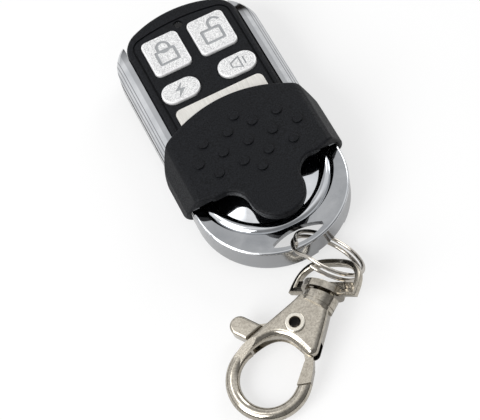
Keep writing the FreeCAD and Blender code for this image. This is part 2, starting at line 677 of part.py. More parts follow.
def horn_sign():
    """A horn in outline, with its bell to the right."""
    k = s.oval_length / 2
    t = s.icon_thin_line
    bell = [(-0.55 * k, 0.26 * k), (0.4 * k, 0.66 * k), (0.4 * k, -0.66 * k), (-0.55 * k, -0.26 * k)]
    core = [(-0.55 * k + t, 0.26 * k - 0.7 * t), (0.4 * k - t, 0.66 * k - 1.6 * t),
            (0.4 * k - t, -0.66 * k + 1.6 * t), (-0.55 * k + t, -0.26 * k + 0.7 * t)]
    shapes = []
    for points, low in ((bell, 0), (core, -1)):
        wire = Part.makePolygon([vec(x, y) for x, y in points + points[:1]])
        shapes.append(prism(wire, low, s.icon_depth if low == 0 else 1))
    sound = block(0.62 * k, 0.62 * k + t, -0.4 * k, 0.4 * k, 0, s.icon_depth)
    return shapes[0].cut(shapes[1]).fuse(sound)


def make_button(name, side, kind, sign):
    """A cap with its flange and foot, and the sign sunk into its top."""
    width, length = s.__dict__[kind + "_width"], s.__dict__[kind + "_length"]
    corner = s.square_corner if kind == "square" else length / 2
    flange = s.button_flange
    body = doc.addObject("PartDesign::Body", name + "_cap")
    flange_z = ("Sizes.panel_top - Sizes.panel_plate - Sizes.button_under_gap"
                " - Sizes.button_flange_thickness")
    pad(body, name + "_flange", [rounded_rectangle(width + 2 * flange, length + 2 * flange,
                                                   corner + flange)],
        flange_z, "Sizes.button_flange_thickness")
    pad(body, name + "_shaft", [rounded_rectangle(width, length, corner)],
        "Sizes.panel_top - Sizes.panel_plate - Sizes.button_under_gap",
        "Sizes.panel_plate + Sizes.button_under_gap + Sizes.button_rise")
    foot_z = ("Sizes.board_bottom + Sizes.board_thickness + Sizes.switch_height"
              " + Sizes.switch_plunger_height + Sizes.button_foot_gap")
    foot = pad(body, name + "_foot", [circle_wire(s.button_foot / 2, 0, 0)], foot_z,
               f"{flange_z} - ({foot_z})")
    top = s.panel_top + s.button_rise
    rim = [f"Edge{i}" for i, edge in enumerate(foot.Shape.Edges, start=1)
           if edge.BoundBox.ZMin > top - 0.01]
    rounding = body.newObject("PartDesign::Fillet", name + "_rounding")
    rounding.Base = (foot, rim)
    rounding.setExpression("Radius", "Sizes.button_round")
    doc.recompute()
    recess = doc.addObject("Part::Feature", name + "_sign")
    recess.Shape = sign
    recess.Placement = FreeCAD.Placement(vec(0, 0, top - s.icon_depth), FreeCAD.Rotation())
    button = cut(name, body, recess)
    button.Label = name
    bind(button, x=f"{side} * Sizes.{kind}_x", y=f"Sizes.{kind}_y")
    PARTS.append(button)
    return button


make_button("lock_button", -1, "square", padlock_sign(0, 0, 0))
make_button("unlock_button", 1, "square",
            padlock_sign(s.square_width * 0.17, s.icon_line * 0.5, s.square_length * 0.13))
make_button("flash_button", -1, "oval", bolt_sign())
make_button("horn_button", 1, "oval", horn_sign())

# Label plate: a thin brushed strip in its recess below the buttons, left blank.
label = new_body("label_plate")
pad(label, "label_pad", [label_outline(0)],
    "Sizes.panel_top - Sizes.label_sink - Sizes.label_thickness", "Sizes.label_thickness")

# Light pipe: clear rod with a flange against the panel's underside.
join("light_pipe", [
    cylinder("pipe_flange_disc", Radius="Sizes.pipe_flange / 2", Height="Sizes.pipe_flange_thickness",
             y="Sizes.lamp_y",
             z="Sizes.panel_top - Sizes.panel_plate - Sizes.pipe_flange_thickness"),
    cylinder("pipe_tip_rod", Radius="Sizes.pipe_tip / 2",
             Height="Sizes.panel_plate + Sizes.pipe_flange_thickness - Sizes.pipe_sink",
             y="Sizes.lamp_y",
             z="Sizes.panel_top - Sizes.panel_plate - Sizes.pipe_flange_thickness"),
    cylinder("pipe_stem_rod", Radius="Sizes.pipe_stem / 2", y="Sizes.lamp_y",
             Height="Sizes.panel_top - Sizes.panel_plate - Sizes.board_bottom"
                    " - Sizes.board_thickness - Sizes.lamp_height - Sizes.pipe_lamp_gap"
                    " - Sizes.pipe_flange_thickness / 2",
             z="Sizes.board_bottom + Sizes.board_thickness + Sizes.lamp_height"
               " + Sizes.pipe_lamp_gap"),
])


# Back cover: flat-backed shell with board posts, screw posts and two locating ribs.
def cover_outline(inset):
    w = s.cover_half_width - inset
    low_y = s.cover_low_y + inset
    low_x = math.sqrt(w ** 2 - (s.bowl_y - low_y) ** 2)
    turn = math.atan2(low_y - s.bowl_y, low_x) / 2
    top = arched_outline(w, s.cover_end_y - inset, s.panel_arch_radius - inset,
                         s.cover_corner_radius - inset, s.bowl_y)
    edges = top.Edges[1:]
    mx = w * math.cos(turn)
    my = s.bowl_y + w * math.sin(turn)
    edges += [arc((-w, s.bowl_y), (-mx, my), (-low_x, low_y)),
              line((-low_x, low_y), (low_x, low_y)),
              arc((low_x, low_y), (mx, my), (w, s.bowl_y))]
    return Part.Wire(Part.__sortEdges__(edges))


def make_back_cover():
    body = prism(cover_outline(0), 0, s.frame_bottom)
    bottom_edges = [edge for edge in body.Edges if edge.BoundBox.ZMax < 0.01]
    body = body.makeFillet(s.cover_round, bottom_edges)
    body = body.cut(prism(cover_outline(s.cover_wall), s.cover_floor, s.frame_bottom + 1))
    floor = s.cover_floor - 0.2
    rib_outer = s.panel_half_width
    pieces = []
    for side in (-1, 1):
        x0, x1 = sorted((side * (rib_outer - s.rib_thickness), side * rib_outer))
        pieces.append(block(x0, x1, s.rib_low_y, s.rib_low_y + s.rib_length,
                            floor, s.panel_foot - s.rib_gap))
        for y in (s.post_low_y, s.post_high_y):
            pieces.append(disc(s.post_diameter, side * s.post_x, y, floor, s.board_bottom))
    for x, y in screw_places():
        pieces.append(disc(s.screw_post, x, y, floor, s.board_bottom))
    body = body.fuse(pieces)
    head_top = s.screw_recess + s.screw_head_height
    tools = []
    for x, y in screw_places():
        tools.append(disc(s.screw_head + 2 * s.screw_gap, x, y, -1, head_top))
        tools.append(disc(s.screw_shank + 2 * s.screw_gap, x, y, -1, s.board_bottom + 1))
    return body.cut(tools).removeSplitter()


add_shape("back_cover", make_back_cover())


# Case screws: two pan-head screws from the back, with a cross recess.
def make_case_screws():
    screws = []
    for x, y in screw_places():
        z0 = s.screw_recess
        z1 = z0 + s.screw_head_height
        screw = disc(s.screw_head, x, y, z0, z1).fuse(disc(s.screw_shank, x, y, z1, s.screw_reach))
        half = s.screw_head * 0.34
        thin = s.screw_head * 0.07
        depth = s.screw_head_height * 0.55
        screw = screw.cut([block(x - half, x + half, y - thin, y + thin, z0 - 1, z0 + depth),
                           block(x - thin, x + thin, y - half, y + half, z0 - 1, z0 + depth)])
        screws.append(screw)
    return Part.makeCompound(screws)


add_shape("case_screws", make_case_screws())


# Circuit board: its upper end follows the panel, with holes for the screws.
def board_outline(inset, low_y):
    w = s.board_half_width - inset
    y1 = s.board_end_y - inset
    r = s.board_corner - inset
    k = r * (1 - math.sqrt(0.5))
    return Part.Wire([
        line((-w, low_y), (w, low_y)), line((w, low_y), (w, y1 - r)),
        arc((w, y1 - r), (w - k, y1 - k), (w - r, y1)), line((w - r, y1), (r - w, y1)),
        arc((r - w, y1), (k - w, y1 - k), (-w, y1 - r)), line((-w, y1 - r), (-w, low_y))])


board = new_body("circuit_board")
pad(board, "board_pad", [board_outline(0, s.board_low_y)], "Sizes.board_bottom",
    "Sizes.board_thickness")
pocket(board, "board_holes",
       [circle_wire(s.screw_shank / 2 + s.screw_gap, x, y) for x, y in screw_places()],
       "Sizes.board_bottom + Sizes.board_thickness", "Sizes.board_thickness + 1")


# Antenna track: one copper strip round the board's upper end.
def make_antenna_track():
    z0 = s.board_bottom + s.board_thickness
    outer = prism(board_outline(s.track_inset, s.track_low_y), z0, z0 + s.track_thickness)
    inner = prism(board_outline(s.track_inset + s.track_width, s.track_low_y - 1), z0 - 1, z0 + 1)
    return outer.cut(inner)


add_shape("antenna_track", make_antenna_track())

# Push switches, one under each button.
for number, (side, kind) in enumerate(((-1, "square"), (1, "square"), (-1, "oval"), (1, "oval")),
                                      start=1):
    base = "Sizes.board_bottom + Sizes.board_thickness"
    join(f"tact_switch_{number}", [
        box(f"switch_body_{number}", Length="Sizes.switch_body", Width="Sizes.switch_body",
            Height="Sizes.switch_height", x=f"{side} * Sizes.{kind}_x - Sizes.switch_body / 2",
            y=f"Sizes.{kind}_y - Sizes.switch_body / 2", z=base),
        cylinder(f"switch_plunger_{number}", Radius="Sizes.switch_plunger / 2",
                 Height="Sizes.switch_plunger_height", x=f"{side} * Sizes.{kind}_x",
                 y=f"Sizes.{kind}_y", z=base + " + Sizes.switch_height"),
    ])

# Keypad seal: rubber sheet on the switches with a hole at each plunger.
seal = new_body("keypad_seal")
seal_z = "Sizes.board_bottom + Sizes.board_thickness + Sizes.switch_height"
pad(seal, "seal_pad", [rounded_rectangle(2 * s.seal_half_width, s.seal_high_y - s.seal_low_y, 1.0,
                                         0, (s.seal_high_y + s.seal_low_y) / 2)],
    seal_z, "Sizes.seal_thickness")
pocket(seal, "seal_holes", [circle_wire(s.seal_hole / 2, x, y) for x, y, _, _, _ in button_places()],
       seal_z + " + Sizes.seal_thickness", "Sizes.seal_thickness + 1")

# Signal lamp chip under the light pipe.
lamp = box("signal_lamp", Length="Sizes.lamp_width", Width="Sizes.lamp_length",
           Height="Sizes.lamp_height", x="-Sizes.lamp_width / 2",
           y="Sizes.lamp_y - Sizes.lamp_length / 2", z="Sizes.board_bottom + Sizes.board_thickness")
lamp.Label = "signal_lamp"
PARTS.append(lamp)


# Encoder chip on the board's underside, with its leads.
def make_encoder_chip():
    z1 = s.board_bottom
    x, y, w, l = s.chip_x, s.chip_y, s.chip_width, s.chip_length
    chip = block(x - w / 2, x + w / 2, y - l / 2, y + l / 2, z1 - 0.15 - s.chip_height, z1 - 0.15)
    leads = []
    count = int(s.lead_count)
    for i in range(count):
        cy = y + (i - (count - 1) / 2) * s.lead_pitch
        for side in (-1, 1):
            x0, x1 = sorted((x + side * w / 2, x + side * (w / 2 + 0.45)))
            leads.append(block(x0, x1, cy - 0.2, cy + 0.2, z1 - 0.95, z1 - 0.7))
            x0, x1 = sorted((x + side * (w / 2 + 0.25), x + side * (w / 2 + 0.45)))
            leads.append(block(x0, x1, cy - 0.2, cy + 0.2, z1 - 0.95, z1))
            x0, x1 = sorted((x + side * (w / 2 + 0.25), x + side * (w / 2 + 1.0)))
            leads.append(block(x0, x1, cy - 0.2, cy + 0.2, z1 - 0.2, z1))
    return chip.fuse(leads)


add_shape("encoder_chip", make_encoder_chip())


# Resonator: a metal can with rounded ends.
resonator = new_body("resonator")
pad(resonator, "can_pad", [rounded_rectangle(s.can_width, s.can_length, s.can_width / 2,
                                             s.can_x, s.can_y)],
    "Sizes.board_bottom - Sizes.can_height", "Sizes.can_height")


# Transistor with three legs.
def make_transistor():
    z1 = s.board_bottom
    x, y = s.transistor_x, s.transistor_y
    body = block(x - 1.45, x + 1.45, y - 0.65, y + 0.65, z1 - 1.1, z1 - 0.1)
    legs = [block(x + dx - 0.2, x + dx + 0.2, y0, y0 + 0.75, z1 - 0.25, z1)
            for dx, y0 in ((-0.95, y - 1.3), (0.95, y - 1.3), (0.0, y + 0.55))]
    return body.fuse(legs)


add_shape("transistor", make_transistor())


# Chip resistors and chip capacitors in rows on the underside.
def small_chips(places, height):
    a = s.small_chip_length / 2
    b = s.small_chip_width / 2
    return Part.makeCompound([block(x - b, x + b, y - a, y + a, s.board_bottom - height, s.board_bottom)
                              for x, y in places])


add_shape("chip_resistors", small_chips(
    [(s.chip_x - 1.65 + i * s.small_chip_pitch, s.chip_y - 4.4) for i in range(4)],
    s.resistor_height))
add_shape("chip_capacitors", small_chips(
    [(s.transistor_x - 1.1 + i * s.small_chip_pitch, s.transistor_y + 3.2) for i in range(3)],
    s.capacitor_height))


# Battery: coin cell with a narrower upper can, and its two contact leaves.
battery_bottom = "Sizes.cell_bottom"
join("battery", [
    cylinder("cell_can", Radius="Sizes.cell_diameter / 2", Height="Sizes.cell_thickness * 0.85",
             y="Sizes.cell_y", z="Sizes.cell_bottom + Sizes.cell_thickness * 0.15"),
    cylinder("cell_cap", Radius="Sizes.cell_diameter / 2 - 1.2", Height="Sizes.cell_thickness * 0.3",
             y="Sizes.cell_y", z="Sizes.cell_bottom"),
])


def make_contact_plus():
    """A bridge between the cell's upper face and the board."""
    z0 = s.cell_bottom + s.cell_thickness
    half = s.leaf_width / 2
    long = s.cell_diameter * 0.4
    leaf = block(-half, half, s.cell_y - long, s.cell_y + long, z0, z0 + s.leaf_thickness)
    feet = [block(-half, half, y - 0.8, y + 0.8, z0, s.board_bottom)
            for y in (s.cell_y - long + 0.8, s.cell_y + long - 0.8)]
    return leaf.fuse(feet)


def make_contact_minus():
    """A leaf under the cell with a riser to the board."""
    half = s.leaf_width / 2
    front = s.cell_y + s.cell_diameter / 2 + 0.6
    z0 = s.cell_bottom - s.leaf_thickness
    leaf = block(-half, half, s.cell_y - s.cell_diameter * 0.25, front, z0, z0 + s.leaf_thickness)
    riser = block(-half, half, front, front + s.leaf_thickness, z0, s.board_bottom)
    return leaf.fuse(riser)


add_shape("battery_contact_plus", make_contact_plus())
add_shape("battery_contact_minus", make_contact_minus())


# Slide cover: a bevelled cap with skirts that run in the frame's tracks, and a thumb tab.
def slider_outline():
    w = s.slider_half_width
    arch_y = s.slider_top_y - s.slider_arch_radius
    x1 = w - 4.9
    y1 = arch_y + math.sqrt(s.slider_arch_radius ** 2 - x1 ** 2)
    edge_x = s.tab_radius + 3.0
    half = [
        line((w, -5.2), (w, -12.0)),
        arc((w, -12.0), (w - 0.32, -13.15), (w - 1.2, -13.85)),
        line((w - 1.2, -13.85), (w - 6.3, s.slider_low_y)),
        line((w - 6.3, s.slider_low_y), (edge_x, s.slider_low_y)),
        arc((edge_x, s.slider_low_y), (s.tab_radius + 0.95, s.slider_low_y - 1.35),
            (s.tab_radius, s.tab_y)),
    ]
    edges = [arc((-x1, y1), (0, s.slider_top_y), (x1, y1)),
             arc((x1, y1), (w - 1.25, -1.35), (w, -5.2)),
             arc((-x1, y1), (-w + 1.25, -1.35), (-w, -5.2)),
             arc((s.tab_radius, s.tab_y), (0, s.tab_y - s.tab_radius), (-s.tab_radius, s.tab_y))]
    edges += half + [mirrored(edge) for edge in half]
    return Part.Wire(Part.__sortEdges__(edges))


def crown_at(x):
    """Height of the slide cover's face at a distance from the middle."""
    rise = s.slider_crown - s.slider_face_edge
    radius = (s.slider_face_half_width ** 2 + rise ** 2) / (2 * rise)
    return s.slider_crown - radius + math.sqrt(radius ** 2 - x ** 2)


def dot_places():
    p = s.dot_pitch
    y = s.dot_first_y
    r = s.dot_row
    rows = [(0, y + 0.75 * r), (0, y - 2.75 * r)]
    rows += [(x * p, y) for x in (-3, -1, 1, 3)]
    rows += [(x * p, y - r) for x in (-4, -2, 0, 2, 4)]
    rows += [(x * p, y - 2 * r) for x in (-3, -1, 1, 3)]
    return rows


def line_between(a, b):
    return Part.LineSegment(a, b).toShape()


def slider_section(points):
    """A section across the cover, drawn through the whole length of the plan."""
    vectors = [vec(x, -30, z) for x, z in points + points[:1]]
    return Part.Face(Part.makePolygon(vectors)).extrude(vec(0, 40, 0))


def cover_section():
    """The cover's outer section: leaning skirts, bevels with rounded corners, a crowned face."""
    foot_x, shoulder_x = s.slider_half_width, s.slider_half_width - s.slider_shoulder_in
    corner = vec(s.slider_face_half_width, -30, s.slider_face_edge)
    down = (vec(shoulder_x, -30, s.slider_shoulder) - corner).normalize()
    low = corner + down * s.slider_bevel_round
    high_x = s.slider_face_half_width - s.slider_bevel_round
    high = vec(high_x, -30, crown_at(high_x))
    bend = (low + high) * 0.25 + corner * 0.5
    half = [line_between(vec(foot_x, -30, s.slider_foot), vec(shoulder_x, -30, s.slider_shoulder)),
            line_between(vec(shoulder_x, -30, s.slider_shoulder), low),
            Part.Arc(low, bend, high).toShape()]
    other = [mirrored(edge) for edge in half]
    crown = Part.Arc(high, vec(0, -30, s.slider_crown), vec(-high_x, -30, high.z)).toShape()
    foot = line_between(vec(-foot_x, -30, s.slider_foot), vec(foot_x, -30, s.slider_foot))
    wire = Part.Wire(Part.__sortEdges__(half + [crown, foot] + other))
    return Part.Face(wire).extrude(vec(0, 40, 0))


def make_slide_cover():
    w = s.slider_half_width
    outside = cover_section()
    plan = prism(slider_outline(), 0, 20)
    body = outside.common(plan)
    edges = [edge for edge in body.Edges if is_top_rim(edge)]
    body = body.makeFillet(s.slider_round, edges)
    inner = w - s.slider_wall
    ceiling = s.panel_top + s.button_rise + s.slider_over_button
    shoulder = s.slider_shoulder + 0.5
    step_x = s.panel_half_width - 0.75
    hollow = slider_section([(inner, 0), (inner, shoulder), (inner - 0.5, shoulder + 0.9),
                             (step_x, ceiling), (-step_x, ceiling), (0.5 - inner, shoulder + 0.9),
                             (-inner, shoulder), (-inner, 0)])
    tab_step = s.slider_low_y + 0.8
    tab_under = s.panel_top + s.slider_over_panel
    keep = block(-step_x, step_x, -40, tab_step, tab_under, 20)
    body = body.cut(hollow.cut(keep))
    lips = []
    for side in (-1, 1):
        x0, x1 = sorted((side * (inner - s.slider_lip), side * (inner + 0.3)))
        lips.append(block(x0, x1, -11.8, -5.2, s.slider_foot, s.slider_foot + s.slider_lip_height))
    dots = []
    for x, y in dot_places():
        top = crown_at(abs(x)) + s.dot_height
        dot = disc(s.dot_diameter, x, y, ceiling + 0.2, top)
        rim = [edge for edge in dot.Edges if edge.BoundBox.ZMin > top - 0.01]
        dots.append(dot.makeFillet(s.dot_round, rim))
    return body.fuse(lips + dots).removeSplitter()


def is_top_rim(edge):
    """Edges where the cover's face and bevels meet the plan outline round the arch and the tab."""
    bounds = edge.BoundBox
    return bounds.ZMin > s.slider_shoulder - 0.05 and bounds.XLength > 0.02


add_shape("slide_cover", make_slide_cover())


# Split ring: one wire in two turns, stepped from one turn to the next before its end.
def ring_frame():
    """The ring's centre, two directions in its plane and its axis."""
    axis = vec(0.68, 0.257, 0.687)
    axis.normalize()
    across = vec(1, 0, 0) - axis * axis.x
    across.normalize()
    return vec(s.ring_x, s.ring_y, s.ring_z), across, axis.cross(across), axis


def ring_point(angle, offset):
    centre, a, b, axis = ring_frame()
    t = math.radians(angle)
    return centre + (a * math.cos(t) + b * math.sin(t)) * s.ring_radius + axis * offset


def ring_tangent(angle):
    _, a, b, _ = ring_frame()
    t = math.radians(angle)
    return b * math.cos(t) - a * math.sin(t)


def arc_from(start, direction, end):
    """The arc that leaves its start in this direction and passes through its end."""
    chord = end - start
    length = chord.Length
    along = chord * (1 / length)
    side = direction - along * direction.dot(along)
    if side.Length < 1e-9:
        return Part.LineSegment(start, end)
    turn = math.acos(max(-1.0, min(1.0, direction.dot(along))))
    side.normalize()
    middle = start + chord * 0.5 + side * (length / 2 * math.tan(turn / 2))
    return Part.Arc(start, middle, end)


def biarc(p0, t0, p1, t1):
    """Two arcs that join two points with the given directions at each."""
    gap = p1 - p0
    both = t0 + t1
    bend = 2 * (1 - t0.dot(t1))
    reach = (math.sqrt(gap.dot(both) ** 2 + bend * gap.dot(gap)) - gap.dot(both)) / bend
    joint = (p0 + p1 + (t0 - t1) * reach) * 0.5
    return [arc_from(p0, t0, joint), arc_from(p1, t1 * -1, joint)]


def ring_path():
    """The wire's centre line: a turn, the step and nearly another turn."""
    low = -s.ring_pitch / 2
    high = s.ring_pitch / 2
    start = s.ring_start
    stretches = [(start + i * 78.75, start + (i + 1) * 78.75, low) for i in range(4)]
    stretches += [(start + 360 + i * 78.75, start + 360 + (i + 1) * 78.75, high) for i in range(4)]
    edges = []
    for first, last, offset in stretches:
        edges.append(Part.Arc(ring_point(first, offset), ring_point((first + last) / 2, offset),
                              ring_point(last, offset)).toShape())
        if offset == low and last == start + 315:
            step = biarc(ring_point(last, low), ring_tangent(last),
                         ring_point(start + 360, high), ring_tangent(start + 360))
            edges += [piece.toShape() for piece in step]
    return Part.Wire(Part.__sortEdges__(edges))


def ring_gap(path):
    """Least gap between one turn of the wire and the next, on points along it."""
    points = []
    for edge in path.OrderedEdges:
        points += edge.discretize(60)
    length = path.Length
    step = length / len(points)
    apart = int(math.pi * s.ring_radius / step)
    least = min((points[i] - points[j]).Length
                for i in range(0, len(points), 2)
                for j in range(i + apart, len(points), 2))
    return least - s.ring_wire


def make_split_ring():
    path = ring_path()
    direction = ring_tangent(s.ring_start)
    section = Part.Circle(ring_point(s.ring_start, -s.ring_pitch / 2), direction, s.ring_wire / 2)
    ring = path.makePipeShell([Part.Wire([section.toShape()])], True, False)
    print("split ring: least gap between turns", round(ring_gap(path), 3), "mm, wire length",
          round(path.Length, 2), "mm, volume", round(ring.Volume, 3), "mm3, section x length",
          round(math.pi * s.ring_wire ** 2 / 4 * path.Length, 3), "mm3")
    return ring


add_shape("split_ring", make_split_ring())


# Clasp: drawn flat, with u towards the swivel, v to its left and w through its thickness,
# then turned and leaned into place about the rivet's centre.
claw_place = FreeCAD.Placement(vec(s.claw_x, s.claw_y, s.claw_z),
                               FreeCAD.Rotation(s.claw_turn, -s.claw_lean, 0))

# The swivel axis leaves the collar here, a few degrees off the clasp's own direction.
swivel_base = claw_place.multVec(vec(s.collar_x + s.collar_length, s.swivel_offset, 0))
swivel_place = FreeCAD.Placement(swivel_base, FreeCAD.Rotation(s.swivel_turn, -s.swivel_lean, 0))
d_place = FreeCAD.Placement(swivel_base,
                            FreeCAD.Rotation(s.swivel_turn, -s.swivel_lean, s.d_roll))


def claw_outline():
    return Part.Wire([
        spline([(-12.2, 7.25), (-9.4, 7.35), (-7.6, 6.9), (-5.3, 6.05), (-3.1, 5.2), (-0.7, 4.25),
                (1.7, 3.3), (4.0, 2.45), (5.3, 2.1)]),
        line((5.3, 2.1), (5.3, -4.2)),
        spline([(5.3, -4.2), (2.9, -4.9), (0.5, -5.5), (-1.4, -5.95), (-2.7, -6.25)]),
        arc((-2.7, -6.25), (-4.0, -5.9), (-4.35, -4.7)),
        spline([(-4.35, -4.7), (-3.7, -2.6), (-3.25, 0.0), (-3.75, 2.0), (-5.0, 3.4), (-7.0, 4.6),
                (-9.4, 5.5), (-12.2, 5.75)]),
        line((-12.2, 5.75), (-12.2, 7.25)),
    ])


def along_claw(diameter, u0, u1, v, w=0.0):
    """A cylinder along the clasp."""
    return Part.makeCylinder(diameter / 2, u1 - u0, vec(u0, v, w), vec(1, 0, 0))


def make_clasp_body():
    half = s.claw_thickness / 2
    body = prism(claw_outline(), -half, half)
    right = [edge for edge in body.Edges if edge.BoundBox.ZLength < 0.01
             and edge.BoundBox.YMax < -4 and edge.BoundBox.XLength > 5]
    body = body.makeFillet(s.claw_side_round, right)
    rims = [edge for edge in body.Edges if edge.BoundBox.ZLength < 0.01
            and edge.BoundBox.XLength > 6 and edge.BoundBox.YMax > 3]
    body = body.makeFillet(s.claw_round, rims)
    rod = s.hook_rod / 2
    slopes = []
    for side in (-1, 1):
        low = side * rod * s.claw_root
        high = side * (half + 1)
        wedge = Part.makePolygon([vec(-13, -10, low), vec(-5.8, -10, side * half),
                                  vec(-5.8, -10, high), vec(-13, -10, high), vec(-13, -10, low)])
        slopes.append(Part.Face(wedge).extrude(vec(0, 20, 0)))
    body = body.cut(slopes)
    hook = Part.makeTorus(s.hook_radius, rod, vec(0, 0), vec(0, 0, 1), -180, 180, 230)
    hook.Placement = FreeCAD.Placement(vec(s.hook_x, -0.15), FreeCAD.Rotation(62, 0, 0))
    nose = Part.makeCylinder(s.gate_radius + s.gate_gap, 10, vec(0, 0, -5))
    nose = nose.common(block(-20, 5, -20, -3, -5, 5))
    hook = hook.cut(nose)
    collar = along_claw(s.collar_diameter, s.collar_x, s.collar_x + s.collar_length + 0.5,
                        s.swivel_offset)
    beyond = Part.makeBox(5, 20, 20, vec(0, -10, -10))
    beyond.Placement = claw_place.inverse().multiply(swivel_place)
    collar = collar.cut(beyond)
    ring_line = along_claw(s.collar_diameter + 1, s.collar_x + 0.55, s.collar_x + 0.8, s.swivel_offset)
    ring_line = ring_line.cut(along_claw(s.collar_diameter - 0.4, s.collar_x, s.collar_x + 1,
                                         s.swivel_offset))
    body = body.fuse([hook, collar.cut(ring_line)])
    slot = s.lever_thickness / 2 + s.lever_gap
    wire = Part.makePolygon([vec(-7.9, 12), vec(3.2, 12), vec(3.2, -3.25), vec(-1.0, -3.25),
                             vec(-1.0, -9), vec(-7.9, -9), vec(-7.9, 12)])
    bore = disc(s.rivet_shank + 2 * s.thread_gap, 0, 0, -5, 5)
    return body.cut([prism(wire, -slot, slot), bore]).removeSplitter()


add_shape("clasp_body", make_clasp_body(), claw_place)


# Lever: hub on the rivet, thumb tab on the left and the gate that closes the hook.
def make_lever():
    half = s.lever_thickness / 2
    wire = Part.Wire([
        spline([(-6.6, 9.4), (-6.7, 8.4), (-6.6, 6.8), (-6.1, 5.1), (-4.8, 3.7), (-3.6, 2.2),
                (-3.05, 0.4), (-3.2, -1.6), (-3.9, -3.3), (-5.3, -4.75)]),
        line((-5.3, -4.75), (-10.9, -5.75)),
        line((-10.9, -5.75), (-10.9, -8.4)),
        line((-10.9, -8.4), (-9.0, -7.85)),
        spline([(-9.0, -7.85), (-6.9, -7.2), (-4.7, -6.2), (-3.1, -4.9), (-1.75, -3.25),
                (0.4, -2.8), (2.3, -1.7), (2.85, 0.0), (2.3, 1.75), (0.3, 3.2), (-1.5, 4.6),
                (-2.8, 6.2), (-3.1, 8.0), (-3.2, 9.4)]),
        line((-3.2, 9.4), (-6.6, 9.4)),
    ])
    lever = prism(wire, -half, half)
    gate_wire = Part.Wire([
        line((-5.6, -4.8), (-10.9, -5.75)), line((-10.9, -5.75), (-10.9, -8.4)),
        line((-10.9, -8.4), (-9.0, -7.85)), line((-9.0, -7.85), (-5.9, -6.85)),
        line((-5.9, -6.85), (-5.6, -4.8))])
    gate = prism(gate_wire, -s.gate_thickness / 2, s.gate_thickness / 2)
    reach = Part.makeCylinder(s.gate_radius, 10, vec(0, 0, -5))
    thumb_wire = Part.Wire([
        line((-6.75, 7.0), (-2.95, 5.55)), line((-2.95, 5.55), (-2.95, 9.5)),
        arc((-2.95, 9.5), (-4.85, 11.4), (-6.75, 9.5)), line((-6.75, 9.5), (-6.75, 7.0))])
    thumb = prism(thumb_wire, -s.thumb_thickness / 2, s.thumb_thickness / 2)
    rims = [edge for edge in thumb.Edges if edge.BoundBox.ZLength < 0.01]
    thumb = thumb.makeFillet(0.5, rims)
    lever = lever.fuse(gate)
    trimmed = lever.cut(block(-20, 5, -20, -3, -5, 5))
    gate_side = lever.common(block(-20, 5, -20, -3, -5, 5)).common(reach)
    lever = trimmed.fuse([gate_side, thumb])
    hole = disc(s.rivet_shank + 2 * s.pivot_gap, 0, 0, -5, 5)
    well_depth = s.spring_height + s.spring_gap
    well = disc(s.spring_outer + 2 * s.spring_gap, 0, 0, half - well_depth, half + 1)
    return lever.cut([hole, well]).removeSplitter()


add_shape("lever", make_lever(), claw_place)


# Lever spring: torsion spring round the rivet, in the lever's well.
def make_lever_spring():
    z1 = s.lever_thickness / 2 + s.lever_gap
    z0 = z1 - s.spring_height
    ring = disc(s.spring_outer, 0, 0, z0, z1).cut(disc(s.spring_inner, 0, 0, z0 - 1, z1 + 1))
    return ring


add_shape("lever_spring", make_lever_spring(), claw_place)


# Rivet: hollow, with a rolled head on each side.
def make_rivet():
    half = s.claw_thickness / 2
    top = half + s.rivet_head_height
    body = disc(s.rivet_shank, 0, 0, -half, half)
    for z0, z1 in ((half, top), (-top, -half)):
        head = disc(s.rivet_head, 0, 0, z0, z1)
        outer = [edge for edge in head.Edges if abs(abs(edge.BoundBox.ZMin) - top) < 0.01
                 and edge.BoundBox.ZLength < 0.01]
        body = body.fuse(head.makeFillet(s.rivet_head_height * 0.6, outer))
    body = body.cut(disc(s.rivet_bore, 0, 0, -5, 5))
    return body.removeSplitter()


add_shape("rivet", make_rivet(), claw_place)

# Swivel post: neck, shank through the D ring's web, and a closed head behind it.
def make_swivel_post():
    web_start = s.d_base + s.d_depth - s.web_thickness
    neck_end = web_start - s.post_play
    head_start = web_start + s.web_thickness + s.post_play
    post = along_claw(s.neck_diameter, 0, neck_end, 0)
    post = post.fuse(along_claw(s.shank_diameter, 0, head_start + 0.1, 0))
    head = along_claw(s.post_head, head_start, head_start + s.post_head_height, 0)
    rim = [edge for edge in head.Edges if edge.BoundBox.XMin > head_start + s.post_head_height - 0.01]
    head = head.makeFillet(s.post_head_height * 0.6, rim)
    return post.fuse(head).removeSplitter()


add_shape("swivel_post", make_swivel_post(), swivel_place)


# D ring: a flat-sided bar bent to a D, with a hood and a web over the swivel post.
def d_curve(half_width, height, power, base):
    points = []
    count = 28
    for i in range(count + 1):
        t = math.pi * i / count
        c, q = math.cos(t), math.sin(t)
        v = half_width * math.copysign(abs(c) ** (2 / power), c)
        points.append((base + height * abs(q) ** (2 / power), v))
    return points


def d_outline(inset):
    base = s.d_base + inset
    curve = d_curve(s.d_half_width - inset, s.d_height - 2 * inset, s.d_power, base)
    return Part.Wire([spline(curve), line(curve[-1], curve[0])])


